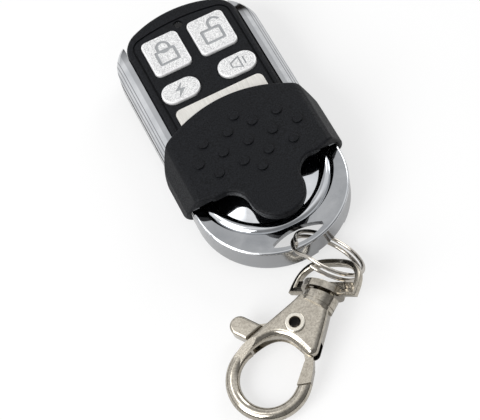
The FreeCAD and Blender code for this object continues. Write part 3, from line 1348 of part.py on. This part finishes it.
def make_d_ring():
    half = s.d_depth / 2
    outer = prism(d_outline(0), -half, half)
    inner = prism(d_outline(s.d_bar), -half - 1, half + 1)
    body = outer.cut(inner)
    rims = [edge for edge in body.Edges if edge.BoundBox.ZLength < 0.01]
    body = body.makeFillet(s.d_round, rims)
    end = s.d_base + s.d_depth
    reach = s.d_half_width - s.d_bar / 2
    plate = block(s.d_base + s.d_bar / 2, s.d_base + s.d_bar + s.plate_height, -reach, reach,
                  -s.plate_thickness / 2, s.plate_thickness / 2)
    body = body.fuse(plate)
    web = along_claw(2 * s.hood_radius, end - s.web_thickness, end, 0)
    hood = along_claw(2 * s.hood_radius, s.d_base, end, 0)
    hood = hood.common(block(-20, 20, -20, 20, 0, 20))
    room = along_claw(2 * (s.hood_radius - s.hood_wall), 0, end - s.web_thickness, 0)
    head_end = end + s.post_play + s.post_head_height + 0.3
    head_room = along_claw(s.post_head + 0.6, end, head_end, 0)
    body = body.fuse([web, hood]).cut([room, head_room])
    bore = along_claw(s.shank_diameter + 2 * s.pivot_gap, 0, end + 1, 0)
    return body.cut(bore).removeSplitter()


add_shape("d_ring", make_d_ring(), d_place)

doc.recompute()

problems = []
for item in doc.Objects:
    if "Invalid" in item.State or "Error" in item.State:
        problems.append(f"{item.Name}: {item.State}")
for item in PARTS:
    if item.Shape.isNull() or not item.Shape.isValid() or not item.Shape.Solids:
        problems.append(f"{item.Label}: shape is empty or not valid")
if problems:
    raise RuntimeError("; ".join(problems))

os.makedirs("parts", exist_ok=True)
for item in PARTS:
    item.Shape.exportStep(f"parts/{item.Label}.step")
    centre = item.Shape.BoundBox.Center
    print(f"{item.Label:22s} solids {len(item.Shape.Solids)} volume {item.Shape.Volume:9.2f}"
          f" centre {centre.x:7.2f} {centre.y:7.2f} {centre.z:6.2f}")
print(len(PARTS), "nodes")
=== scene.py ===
import json
import math

import bpy
from mathutils import Matrix, Vector


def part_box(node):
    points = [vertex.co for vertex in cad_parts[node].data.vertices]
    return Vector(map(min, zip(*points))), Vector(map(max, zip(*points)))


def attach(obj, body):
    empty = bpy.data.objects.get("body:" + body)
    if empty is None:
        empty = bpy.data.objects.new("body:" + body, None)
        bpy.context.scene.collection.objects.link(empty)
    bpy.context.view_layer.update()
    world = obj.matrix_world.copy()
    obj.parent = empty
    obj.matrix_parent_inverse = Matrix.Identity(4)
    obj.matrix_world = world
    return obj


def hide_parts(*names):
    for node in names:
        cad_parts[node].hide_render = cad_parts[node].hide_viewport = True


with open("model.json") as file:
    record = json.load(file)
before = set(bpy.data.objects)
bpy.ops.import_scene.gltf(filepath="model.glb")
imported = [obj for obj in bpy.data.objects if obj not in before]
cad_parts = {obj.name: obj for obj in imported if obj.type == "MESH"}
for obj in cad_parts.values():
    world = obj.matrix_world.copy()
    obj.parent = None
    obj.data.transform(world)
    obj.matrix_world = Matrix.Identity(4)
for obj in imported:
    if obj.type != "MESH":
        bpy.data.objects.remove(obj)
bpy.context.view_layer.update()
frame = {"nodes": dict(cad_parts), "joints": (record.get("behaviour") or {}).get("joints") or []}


# The front panel and the back cover: two injection-moulded shells of black plastic that screw
# together. The mould is spark eroded, so the outside is covered with a fine matt grain that
# catches a soft grey sheen. The panel has a groove round its face, and openings for the keys.
MM = 0.001


def add_node(tree, kind, feed=None, **settings):
    """A node in a shader tree. feed gives its sockets a value, or the socket that feeds them."""
    node = tree.nodes.new("ShaderNode" + kind)
    for name, value in settings.items():
        setattr(node, name, value)
    for name, value in (feed or {}).items():
        if isinstance(value, bpy.types.NodeSocket):
            tree.links.new(value, node.inputs[name])
        else:
            node.inputs[name].default_value = value
    return node


def math_node(tree, operation, first, second=0.0, clamp=False):
    node = add_node(tree, "Math", {0: first, 1: second}, operation=operation, use_clamp=clamp)
    return node.outputs[0]


def fade(tree, value, start, end, low=0.0, high=1.0):
    """A number that goes from low to high while the value goes from start to end."""
    return add_node(tree, "MapRange", {"Value": value, "From Min": start, "From Max": end,
                                       "To Min": low, "To Max": high}).outputs[0]


def place_on_piece(tree):
    return add_node(tree, "TexCoord").outputs["Object"]


def coordinate(tree, vector, axis):
    return add_node(tree, "SeparateXYZ", {0: vector}).outputs[axis]


def stretch_contrast(tree, value, contrast):
    """A value that lies about one half, spread to both sides and cut off at 0 and 1."""
    spread = math_node(tree, "MULTIPLY", math_node(tree, "SUBTRACT", value, 0.5), contrast)
    return math_node(tree, "ADD", spread, 0.5, clamp=True)


def effect_group(name, inputs, outputs):
    """An empty shader node group with float inputs and outputs, and its two end nodes."""
    group = bpy.data.node_groups.new(name, "ShaderNodeTree")
    for label, value in inputs:
        socket = group.interface.new_socket(label, in_out="INPUT", socket_type="NodeSocketFloat")
        socket.default_value = value
    for label in outputs:
        group.interface.new_socket(label, in_out="OUTPUT", socket_type="NodeSocketFloat")
    return group, group.nodes.new("NodeGroupInput"), group.nodes.new("NodeGroupOutput")


def make_grain_effect():
    """Small pits and bumps, as a height and as a light and dark speckle."""
    pit_share = -0.35
    group, given, result = effect_group(
        "Moulded grain", [("Grains per mm", 5.0), ("Speckle contrast", 2.0)],
        ["Height", "Speckle"])
    place = place_on_piece(group)
    scale = math_node(group, "MULTIPLY", given.outputs["Grains per mm"], 1 / MM)
    soft = add_node(group, "TexNoise", {"Vector": place, "Scale": scale, "Detail": 2.0,
                                        "Roughness": 0.6}).outputs[0]
    pits = add_node(group, "TexVoronoi", {"Vector": place, "Scale": scale},
                    feature="SMOOTH_F1").outputs["Distance"]
    height = math_node(group, "ADD", soft, math_node(group, "MULTIPLY", pits, pit_share))
    speckle = stretch_contrast(group, soft, given.outputs["Speckle contrast"])
    group.links.new(height, result.inputs["Height"])
    group.links.new(speckle, result.inputs["Speckle"])
    return group


grain_effect = make_grain_effect()


def use_effect(tree, group, **values):
    """One effect placed in a material with its own values."""
    node = tree.nodes.new("ShaderNodeGroup")
    node.node_tree = group
    for name, value in values.items():
        node.inputs[name.replace("_", " ")].default_value = value
    return node.outputs


def new_finish(name, roughness, metallic=0.0, **sockets):
    """A material with its own surface shader. The other sockets are set by their own names."""
    finish = bpy.data.materials.new(name)
    finish.use_nodes = True
    shader = finish.node_tree.nodes["Principled BSDF"]
    shader.inputs["Roughness"].default_value = roughness
    shader.inputs["Metallic"].default_value = metallic
    for socket, value in sockets.items():
        shader.inputs[socket.replace("_", " ")].default_value = value
    return finish, finish.node_tree, shader


def mix_colours(tree, mask, first, second):
    """The first colour where the mask is 0, and the second where it is 1."""
    ends = [colour if isinstance(colour, bpy.types.NodeSocket) else (*colour, 1)
            for colour in (first, second)]
    return add_node(tree, "Mix", {0: mask, 6: ends[0], 7: ends[1]}, data_type="RGBA").outputs[2]


def paint(tree, shader, colour):
    tree.links.new(colour, shader.inputs["Base Color"])


def roughen(tree, shader, mask, low, high):
    """Roughness that goes from low to high as the mask rises."""
    tree.links.new(fade(tree, mask, 0.0, 1.0, low, high), shader.inputs["Roughness"])


def raise_surface(tree, shader, height, depth):
    """Fine relief: depth is what the height's full change stands for, in metres."""
    bump = add_node(tree, "Bump", {"Height": height, "Distance": depth, "Strength": 1.0})
    tree.links.new(bump.outputs["Normal"], shader.inputs["Normal"])


def dress(finish, *nodes):
    for name in nodes:
        solid = frame["nodes"][name]
        for place in solid.material_slots:
            place.material = finish
        if not solid.material_slots:
            solid.data.materials.append(finish)


def make_black_plastic():
    pit_black = (0.0012, 0.0014, 0.0019)
    grain_black = (0.0105, 0.0115, 0.014)
    finish, tree, shader = new_finish("black_plastic", 0.5, Specular_IOR_Level=0.13)
    grain = use_effect(tree, grain_effect, Grains_per_mm=3.8, Speckle_contrast=3.2)
    paint(tree, shader, mix_colours(tree, grain["Speckle"], pit_black, grain_black))
    roughen(tree, shader, grain["Speckle"], 0.56, 0.42)
    raise_surface(tree, shader, grain["Height"], 0.035 * MM)
    return finish


black_plastic = make_black_plastic()
dress(black_plastic, "front_panel", "back_cover")


# The circuit board and its etched loop aerial: glass-fibre sheet under green solder mask, with
# bare copper along the upper edge. It drops onto the bosses of the front panel.
def make_board_green():
    weave_dark = (0.010, 0.075, 0.030)
    weave_light = (0.018, 0.12, 0.048)
    finish, tree, shader = new_finish("solder_mask", 0.32, Coat_Weight=0.3, Coat_Roughness=0.15)
    weave = use_effect(tree, grain_effect, Grains_per_mm=2.0, Speckle_contrast=1.2)
    paint(tree, shader, mix_colours(tree, weave["Speckle"], weave_dark, weave_light))
    raise_surface(tree, shader, weave["Height"], 0.02 * MM)
    return finish


def make_brushing_effect():
    """Fine parallel lines along one direction, as a light and dark streak."""
    group, given, result = effect_group(
        "Brushed lines", [("Lines per mm across", 6.0), ("Lines per mm along", 0.2),
                          ("Streak contrast", 2.0)], ["Streak"])
    across = math_node(group, "MULTIPLY", given.outputs["Lines per mm across"], 1 / MM)
    along = math_node(group, "MULTIPLY", given.outputs["Lines per mm along"], 1 / MM)
    stretch = add_node(group, "CombineXYZ", {"X": across, "Y": along, "Z": along}).outputs[0]
    moved = add_node(group, "VectorMath", {0: place_on_piece(group), 1: stretch},
                     operation="MULTIPLY").outputs[0]
    lines = add_node(group, "TexNoise", {"Vector": moved, "Scale": 1.0, "Detail": 3.0,
                                         "Roughness": 0.65}).outputs[0]
    streak = stretch_contrast(group, lines, given.outputs["Streak contrast"])
    group.links.new(streak, result.inputs["Streak"])
    return group


brushing_effect = make_brushing_effect()


def make_copper():
    copper_dark = (0.50, 0.22, 0.11)
    copper_light = (0.80, 0.42, 0.24)
    finish, tree, shader = new_finish("bare_copper", 0.3, 1.0)
    lines = use_effect(tree, brushing_effect, Lines_per_mm_across=4.0, Lines_per_mm_along=3.0)
    paint(tree, shader, mix_colours(tree, lines["Streak"], copper_dark, copper_light))
    roughen(tree, shader, lines["Streak"], 0.25, 0.42)
    return finish


dress(make_board_green(), "circuit_board")
dress(make_copper(), "antenna_track")


# Parts soldered on the board: chips and switch bodies of moulded black epoxy, with ceramic
# resistors and capacitors, the signal lamp, and the resonator's pressed metal can. The coin
# cell, its sprung contacts and the two case screws are plain steel too.
def make_epoxy():
    epoxy_dark = (0.012, 0.012, 0.013)
    epoxy_light = (0.030, 0.030, 0.032)
    finish, tree, shader = new_finish("moulded_epoxy", 0.55)
    grain = use_effect(tree, grain_effect, Grains_per_mm=9.0, Speckle_contrast=1.5)
    paint(tree, shader, mix_colours(tree, grain["Speckle"], epoxy_dark, epoxy_light))
    raise_surface(tree, shader, grain["Height"], 0.02 * MM)
    return finish


def make_ceramic():
    ceramic_dark = (0.42, 0.34, 0.24)
    ceramic_light = (0.56, 0.48, 0.36)
    finish, tree, shader = new_finish("fired_ceramic", 0.45)
    grain = use_effect(tree, grain_effect, Grains_per_mm=12.0, Speckle_contrast=1.2)
    paint(tree, shader, mix_colours(tree, grain["Speckle"], ceramic_dark, ceramic_light))
    return finish


def make_plain_steel():
    steel_dark = (0.44, 0.44, 0.45)
    steel_light = (0.66, 0.66, 0.67)
    finish, tree, shader = new_finish("plain_steel", 0.3, 1.0)
    lines = use_effect(tree, brushing_effect, Lines_per_mm_across=9.0, Streak_contrast=1.6)
    paint(tree, shader, mix_colours(tree, lines["Streak"], steel_dark, steel_light))
    roughen(tree, shader, lines["Streak"], 0.24, 0.4)
    return finish


plain_steel = make_plain_steel()
switches = [f"tact_switch_{i}" for i in range(1, 5)]
dress(make_epoxy(), "encoder_chip", "transistor", *switches)
dress(make_ceramic(), "chip_resistors", "chip_capacitors", "signal_lamp")
dress(plain_steel, "resonator", "battery", "battery_contact_plus", "battery_contact_minus",
      "case_screws")


# The keypad seal: one thin sheet of grey silicone rubber between the board and the keys.
# It is cut with a hole for each key's foot, and keeps dust out of the switches.
def make_seal_rubber():
    rubber_dark = (0.060, 0.062, 0.066)
    rubber_light = (0.085, 0.087, 0.092)
    finish, tree, shader = new_finish("silicone_rubber", 0.6, Sheen_Weight=0.2)
    grain = use_effect(tree, grain_effect, Grains_per_mm=4.0, Speckle_contrast=1.0)
    paint(tree, shader, mix_colours(tree, grain["Speckle"], rubber_dark, rubber_light))
    raise_surface(tree, shader, grain["Height"], 0.01 * MM)
    return finish


dress(make_seal_rubber(), "keypad_seal")


# The four keys: caps of sand-textured plastic under silver lacquer, with a brighter smooth rim.
# The sign on each is sunk into its top and keeps a plain grey floor.
def make_key_silver():
    sand_dark = (0.50, 0.50, 0.505)
    sand_light = (0.89, 0.89, 0.885)
    rim_silver = (0.88, 0.88, 0.885)
    sign_grey = (0.33, 0.34, 0.35)
    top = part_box("lock_button")[1].z
    field_floor = top - 0.08 * MM
    sign_floor = top - 0.24 * MM
    level_normal = 0.97
    finish, tree, shader = new_finish("silver_lacquer", 0.42, 0.25, Specular_IOR_Level=0.5)
    height = coordinate(tree, place_on_piece(tree), "Z")
    upward = coordinate(tree, add_node(tree, "NewGeometry").outputs["True Normal"], "Z")
    is_level = math_node(tree, "GREATER_THAN", upward, level_normal)
    field = math_node(tree, "MULTIPLY", is_level,
                      math_node(tree, "GREATER_THAN", height, field_floor))
    field_and_sign = math_node(tree, "MULTIPLY", is_level,
                               math_node(tree, "GREATER_THAN", height, sign_floor))
    sign = math_node(tree, "SUBTRACT", field_and_sign, field)
    grain = use_effect(tree, grain_effect, Grains_per_mm=4.6, Speckle_contrast=4.0)
    sand = mix_colours(tree, grain["Speckle"], sand_dark, sand_light)
    cap = mix_colours(tree, field, rim_silver, sand)
    paint(tree, shader, mix_colours(tree, sign, cap, sign_grey))
    raise_surface(tree, shader, math_node(tree, "MULTIPLY", grain["Height"], field), 0.12 * MM)
    return finish


dress(make_key_silver(), "lock_button", "unlock_button", "flash_button", "horn_button")


# The label plate: a strip of thin aluminium, brushed along the fob, tinted a warm champagne
# and left blank. It is glued into its recess below the keys.
def make_champagne():
    champagne_dark = (0.57, 0.555, 0.52)
    champagne_light = (0.80, 0.785, 0.745)
    finish, tree, shader = new_finish("brushed_champagne", 0.38, 0.35)
    lines = use_effect(tree, brushing_effect, Lines_per_mm_across=5.0, Lines_per_mm_along=0.4,
                       Streak_contrast=1.6)
    paint(tree, shader, mix_colours(tree, lines["Streak"], champagne_dark, champagne_light))
    roughen(tree, shader, lines["Streak"], 0.34, 0.48)
    return finish


dress(make_champagne(), "label_plate")


# The lamp window: a flanged pin of clear plastic that carries the lamp's light to the panel.
# With the lamp off, it looks into the dark of the housing, and that dark is painted into its
# tint as painted shade.
def make_clear_plastic():
    housing_shade_dark = (0.030, 0.032, 0.036)
    housing_shade_light = (0.045, 0.047, 0.052)
    finish, tree, shader = new_finish("clear_plastic", 0.2, IOR=1.49, Transmission_Weight=1.0)
    grain = use_effect(tree, grain_effect, Grains_per_mm=1.0, Speckle_contrast=0.6)
    # The near black tint is painted shade, standing in for the dark housing behind the clear pin.
    paint(tree, shader, mix_colours(tree, grain["Speckle"], housing_shade_dark, housing_shade_light))
    return finish


dress(make_clear_plastic(), "light_pipe")


# The chromed frame: moulded plastic plated with bright chromium. Two side rails with fine lines
# run into a dished lower end with the slot for the key ring. Its skin waves a little, as
# plating does. Its upright walls carry painted shade, darker than its top, and each rail has
# a strip of painted shade beside the panel.
def make_handling_effect():
    """Wide soft patches, such as marks of handling, and the waves of a plated skin."""
    group, given, result = effect_group(
        "Handling marks", [("Patches per mm", 0.3), ("Patch contrast", 2.0)], ["Patch", "Wave"])
    place = place_on_piece(group)
    scale = math_node(group, "MULTIPLY", given.outputs["Patches per mm"], 1 / MM)
    soft = add_node(group, "TexNoise", {"Vector": place, "Scale": scale, "Detail": 4.0,
                                        "Roughness": 0.55, "Distortion": 0.4}).outputs[0]
    wave = add_node(group, "TexNoise", {"Vector": place, "Scale": scale, "Detail": 0.0}).outputs[0]
    patch = stretch_contrast(group, soft, given.outputs["Patch contrast"])
    group.links.new(patch, result.inputs["Patch"])
    group.links.new(wave, result.inputs["Wave"])
    return group


handling_effect = make_handling_effect()


def rail_lines_and_shade_strip(tree):
    """The fine lines that run along both rails, and a strip of painted shade beside the panel."""
    lines_start = 14.25 * MM
    line_pitch = 0.52 * MM
    line_width = 0.17 * MM
    shade_strip_edge = (13.25 * MM, 13.45 * MM)
    shade_strip_share = 0.55
    lower_end = (-4.0 * MM, 0.0)
    place = place_on_piece(tree)
    side = math_node(tree, "ABSOLUTE", coordinate(tree, place, "X"))
    beyond = math_node(tree, "SUBTRACT", side, lines_start)
    phase = math_node(tree, "MODULO", beyond, line_pitch)
    lines = math_node(tree, "MULTIPLY", math_node(tree, "GREATER_THAN", beyond, 0.0),
                      math_node(tree, "LESS_THAN", phase, line_width))
    # The strip beside the panel is painted shade: a darker reflection laid into the colour.
    shade_strip = fade(tree, side, *shade_strip_edge, shade_strip_share, 0.0)
    either = math_node(tree, "MAXIMUM", lines, shade_strip)
    return math_node(tree, "MULTIPLY", either, fade(tree, coordinate(tree, place, "Y"), *lower_end))


def make_chrome():
    patch_dark = (0.46, 0.475, 0.495)
    patch_light = (0.66, 0.67, 0.685)
    painted_wall_shade = (0.34, 0.345, 0.355)
    line_and_shade_grey = (0.27, 0.275, 0.285)
    upright, tilted = 0.10, 0.55
    finish, tree, shader = new_finish("bright_chrome", 0.06, 1.0)
    marks = use_effect(tree, handling_effect, Patches_per_mm=0.22, Patch_contrast=2.2)
    upward = coordinate(tree, add_node(tree, "NewGeometry").outputs["Normal"], "Z")
    level = fade(tree, math_node(tree, "ABSOLUTE", upward), upright, tilted)
    bright = mix_colours(tree, marks["Patch"], patch_dark, patch_light)
    # Upright walls get a darker grey: painted shade, standing in for a darker reflection on the
    # sides.
    tone = mix_colours(tree, level, painted_wall_shade, bright)
    # The same darker grey paints the rail lines and the strip of painted shade.
    paint(tree, shader, mix_colours(tree, rail_lines_and_shade_strip(tree), tone, line_and_shade_grey))
    roughen(tree, shader, level, 0.16, 0.05)
    raise_surface(tree, shader, marks["Wave"], 0.06 * MM)
    return finish


dress(make_chrome(), "chrome_frame")


# The slide cover: a moulded black cap that hooks round both rails and slides up over the keys.
# Fourteen low round studs give grip, and the tongue at its lower end is the thumb's place.
dress(black_plastic, "slide_cover")


# The split ring: spring wire wound two turns and nickel plated bright. It is threaded through
# the frame's slot and through the clasp's D ring.
def make_ring_nickel():
    ring_dark = (0.38, 0.35, 0.31)
    ring_light = (0.54, 0.51, 0.465)
    finish, tree, shader = new_finish("bright_nickel", 0.14, 1.0)
    marks = use_effect(tree, handling_effect, Patches_per_mm=0.8, Patch_contrast=2.0)
    paint(tree, shader, mix_colours(tree, marks["Patch"], ring_dark, ring_light))
    roughen(tree, shader, marks["Patch"], 0.10, 0.22)
    return finish


dress(make_ring_nickel(), "split_ring")


# The swivel clasp: a D ring, a swivel post, a hook body and a thumb lever, all zinc castings
# barrel polished and nickel plated to a satin, with a hollow rivet spread over at both ends.
lever_joint = next(joint for joint in frame["joints"] if joint["name"] == "trigger_press")


def make_satin_nickel():
    pitted_nickel = (0.25, 0.226, 0.188)
    clean_nickel = (0.54, 0.503, 0.436)
    finish, tree, shader = new_finish("satin_nickel", 0.2, 1.0)
    marks = use_effect(tree, handling_effect, Patches_per_mm=0.7, Patch_contrast=2.2)
    pits = use_effect(tree, grain_effect, Grains_per_mm=2.6, Speckle_contrast=3.0)
    lighter_share = math_node(tree, "ADD", math_node(tree, "MULTIPLY", marks["Patch"], 0.5),
                      math_node(tree, "MULTIPLY", pits["Speckle"], 0.5))
    paint(tree, shader, mix_colours(tree, lighter_share, pitted_nickel, clean_nickel))
    roughen(tree, shader, lighter_share, 0.20, 0.10)
    raise_surface(tree, shader, pits["Height"], 0.005 * MM)
    return finish


def make_rivet_nickel():
    """The rivet's own nickel, with painted shade in the bore, darkest deep inside and lighter at
    the mouth.
    """
    bore_deep_shade = (0.020, 0.015, 0.012)
    bore_mouth_shade = (0.20, 0.165, 0.125)
    flange_nickel = (0.58, 0.55, 0.485)
    bore_edge = (1.11 * MM, 1.25 * MM)
    mouth_depth = (1.6 * MM, 2.9 * MM)
    finish, tree, shader = new_finish("rivet_nickel", 0.22, 1.0)
    away = add_node(tree, "VectorMath", {0: place_on_piece(tree), 1: lever_joint["pos_m"]},
                    operation="SUBTRACT").outputs[0]
    along = add_node(tree, "VectorMath", {0: away, 1: lever_joint["axis"]},
                     operation="DOT_PRODUCT").outputs["Value"]
    shift = add_node(tree, "VectorMath", {0: lever_joint["axis"], "Scale": along},
                     operation="SCALE").outputs[0]
    flat = add_node(tree, "VectorMath", {0: away, 1: shift}, operation="SUBTRACT").outputs[0]
    radius = add_node(tree, "VectorMath", {0: flat}, operation="LENGTH").outputs["Value"]
    lighter_share = fade(tree, radius, *bore_edge)
    mouth = fade(tree, math_node(tree, "ABSOLUTE", along), *mouth_depth)
    # Painted shade in the bore: dark deep inside, lighter towards the mouth.
    bore = mix_colours(tree, mouth, bore_deep_shade, bore_mouth_shade)
    paint(tree, shader, mix_colours(tree, lighter_share, bore, flange_nickel))
    roughen(tree, shader, lighter_share, 0.6, 0.22)
    return finish


dress(make_satin_nickel(), "d_ring", "swivel_post", "clasp_body", "lever")
dress(make_rivet_nickel(), "rivet")


# The lever spring: two close turns of steel spring wire round the rivet, in the pocket of the
# lever. It pushes the lever's gate shut.
def wind_lever_spring():
    wire_radius = 0.17 * MM
    coil_radius = 2.03 * MM
    turns = 2.1
    steps = 60
    up = -Vector(lever_joint["axis"]).normalized()
    across = up.orthogonal().normalized()
    beyond = up.cross(across)
    pivot = Vector(lever_joint["pos_m"])
    low = 0.1 * MM + wire_radius
    high = 1.2 * MM - wire_radius
    wire = bpy.data.curves.new("lever_spring_wire", "CURVE")
    wire.dimensions = "3D"
    wire.bevel_depth = wire_radius
    wire.bevel_resolution = 4
    wire.use_fill_caps = True
    run = wire.splines.new("POLY")
    run.points.add(steps)
    for i, point in enumerate(run.points):
        share = i / steps
        turn = 2 * math.pi * turns * share
        spot = (pivot + across * (coil_radius * math.cos(turn))
                + beyond * (coil_radius * math.sin(turn)) + up * (low + (high - low) * share))
        point.co = (*spot, 1)
    spring = bpy.data.objects.new("lever_spring_wire", wire)
    bpy.context.scene.collection.objects.link(spring)
    wire.materials.append(plain_steel)
    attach(spring, "clasp")
    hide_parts("lever_spring")


wind_lever_spring()
dress(plain_steel, "lever_spring")


# The studio: a pale floor, a camera above and in front, soft lamps, and a plain tent whose
# greys only show in polished metal. All sizes and places here are in metres.
FLOOR_LEVEL = -0.02 * MM
FLOOR_HALF = 1.2
FLOOR_WHITE_SHARE = (0.62, 0.2)
TENT_RADIUS = 1.2
TENT_DROP = 0.02
TENT_GREYS = [(0.0, (0.015, 0.012, 0.010)), (0.07, (0.035, 0.030, 0.026)),
              (0.13, (0.60, 0.60, 0.60)), (0.32, (1.10, 1.10, 1.10)),
              (0.80, (1.0, 1.01, 1.03)), (1.0, (1.15, 1.15, 1.15))]
CARD_DIRECTION = Vector((0.18, 0.46, 0.87)).normalized()
CARD_EDGE, CARD_GREY = (0.955, 0.988), 0.58
BOX_DIRECTION = Vector((-0.36, 0.18, 0.90)).normalized()
BOX_EDGE, BOX_GLOW = (0.975, 0.988), 3.0
FRONT_EDGE, FRONT_GREY = (-0.5, -0.05), 0.3
CAMERA_PLACE = Vector((-43.70, -167.53, 274.01)) * MM
CAMERA_FORWARD = Vector((0.118388, 0.488498, -0.864497))
CAMERA_RIGHT = Vector((0.894499, -0.430457, -0.120740))


def mesh_object(name, points, faces):
    mesh = bpy.data.meshes.new(name)
    mesh.from_pydata(points, [], faces)
    mesh.update()
    thing = bpy.data.objects.new(name, mesh)
    bpy.context.scene.collection.objects.link(thing)
    return thing


def seen_white(tree, plain_share, polished_share):
    """How much of the plain white background a ray sees, straight or in polished metal."""
    path = add_node(tree, "LightPath").outputs
    straight = math_node(tree, "MAXIMUM", path["Is Camera Ray"], path["Is Transmission Ray"])
    return math_node(tree, "MAXIMUM", math_node(tree, "MULTIPLY", straight, plain_share),
                     math_node(tree, "MULTIPLY", path["Is Glossy Ray"], polished_share))


def lay_floor():
    corners = [(-FLOOR_HALF, -FLOOR_HALF), (FLOOR_HALF, -FLOOR_HALF),
               (FLOOR_HALF, FLOOR_HALF), (-FLOOR_HALF, FLOOR_HALF)]
    floor = mesh_object("floor", [(x, y, FLOOR_LEVEL) for x, y in corners], [(0, 1, 2, 3)])
    finish, tree, shader = new_finish("pale_floor", 0.9, Specular_IOR_Level=0.0)
    shader.inputs["Base Color"].default_value = (0.94, 0.94, 0.94, 1)
    glow = add_node(tree, "Emission", {"Color": (1, 1, 1, 1), "Strength": 1.0})
    mix = add_node(tree, "MixShader", {0: seen_white(tree, *FLOOR_WHITE_SHARE),
                                       1: shader.outputs[0], 2: glow.outputs[0]})
    tree.links.new(mix.outputs[0], tree.nodes["Material Output"].inputs["Surface"])
    floor.data.materials.append(finish)


def dome(around, up):
    """Points and faces of half a ball, open below."""
    points, faces = [], []
    for j in range(up + 1):
        rise = math.radians(90.0 * j / up)
        for i in range(around):
            turn = math.radians(360.0 * i / around)
            points.append((TENT_RADIUS * math.cos(rise) * math.cos(turn),
                           TENT_RADIUS * math.cos(rise) * math.sin(turn),
                           TENT_RADIUS * math.sin(rise) - TENT_DROP))
    for j in range(up):
        for i in range(around):
            n = (i + 1) % around
            faces.append((j * around + i, j * around + n, (j + 1) * around + n,
                          (j + 1) * around + i))
    return points, faces


def make_tent_cloth():
    finish = bpy.data.materials.new("tent_cloth")
    finish.use_nodes = True
    tree = finish.node_tree
    tree.nodes.remove(tree.nodes["Principled BSDF"])
    spot = add_node(tree, "VectorMath", {0: place_on_piece(tree)}, operation="NORMALIZE").outputs[0]
    ramp = add_node(tree, "ValToRGB", {"Fac": coordinate(tree, spot, "Z")})
    greys = ramp.color_ramp.elements
    while len(greys) < len(TENT_GREYS):
        greys.new(0.5)
    for grey, (height, colour) in zip(greys, TENT_GREYS):
        grey.position = height
        grey.color = (*colour, 1)

    def nearness(direction):
        return add_node(tree, "VectorMath", {0: spot, 1: direction},
                        operation="DOT_PRODUCT").outputs["Value"]

    card = fade(tree, nearness(CARD_DIRECTION), *CARD_EDGE, 1.0, CARD_GREY)
    box = fade(tree, nearness(BOX_DIRECTION), *BOX_EDGE, 0.0, BOX_GLOW)
    front = fade(tree, coordinate(tree, spot, "Y"), *FRONT_EDGE, FRONT_GREY, 1.0)
    strength = math_node(tree, "ADD", math_node(tree, "MULTIPLY", card, front), box)
    glow = add_node(tree, "Emission", {"Color": ramp.outputs["Color"], "Strength": strength})
    tree.links.new(glow.outputs[0], tree.nodes["Material Output"].inputs["Surface"])
    return finish


def hang_tent():
    """A dome that only polished surfaces see: dark at the skirt and in front, pale elsewhere,
    with a grey card hung behind and above the object, and a small bright box beside it."""
    tent = mesh_object("studio_tent", *dome(around=48, up=16))
    tent.visible_camera = False
    tent.visible_diffuse = False
    tent.visible_shadow = False
    tent.data.materials.append(make_tent_cloth())


def hang_lamp(name, place, width, length, power):
    """A soft rectangular lamp that points at the object."""
    lamp = bpy.data.lights.new(name, "AREA")
    lamp.shape = "RECTANGLE"
    lamp.size, lamp.size_y = width, length
    lamp.energy = power
    thing = bpy.data.objects.new(name, lamp)
    bpy.context.scene.collection.objects.link(thing)
    thing.location = place
    thing.rotation_euler = (-Vector(place)).to_track_quat("-Z", "Y").to_euler()


def set_camera():
    forward = CAMERA_FORWARD.normalized()
    right = (CAMERA_RIGHT - forward * CAMERA_RIGHT.dot(forward)).normalized()
    up = right.cross(forward)
    data = bpy.data.cameras.new("camera")
    data.lens = 120
    data.sensor_width = 36
    data.clip_start = 0.01
    camera = bpy.data.objects.new("camera", data)
    bpy.context.scene.collection.objects.link(camera)
    turn = Matrix((right, up, -forward)).transposed().to_4x4()
    camera.matrix_world = Matrix.Translation(CAMERA_PLACE) @ turn
    bpy.context.scene.camera = camera


def set_world():
    """An even grey light all round, which the camera and polished metal see as white."""
    world = bpy.data.worlds.new("studio")
    world.use_nodes = True
    tree = world.node_tree
    ambient = tree.nodes["Background"]
    ambient.inputs["Color"].default_value = (1, 1, 1, 1)
    ambient.inputs["Strength"].default_value = 0.5
    white = add_node(tree, "Background", {"Color": (1, 1, 1, 1), "Strength": 1.0})
    mix = add_node(tree, "MixShader", {0: seen_white(tree, 1.0, 1.0), 1: ambient.outputs[0],
                                       2: white.outputs[0]})
    tree.links.new(mix.outputs[0], tree.nodes["World Output"].inputs["Surface"])
    bpy.context.scene.world = world


lay_floor()
hang_tent()
set_camera()
set_world()
hang_lamp("key_lamp", place=(-0.72, -0.28, 0.62), width=0.60, length=0.60, power=8.0)
hang_lamp("fill_lamp", place=(0.70, 0.45, 0.55), width=0.40, length=0.60, power=2.5)
bpy.context.scene.view_settings.view_transform = "Standard"
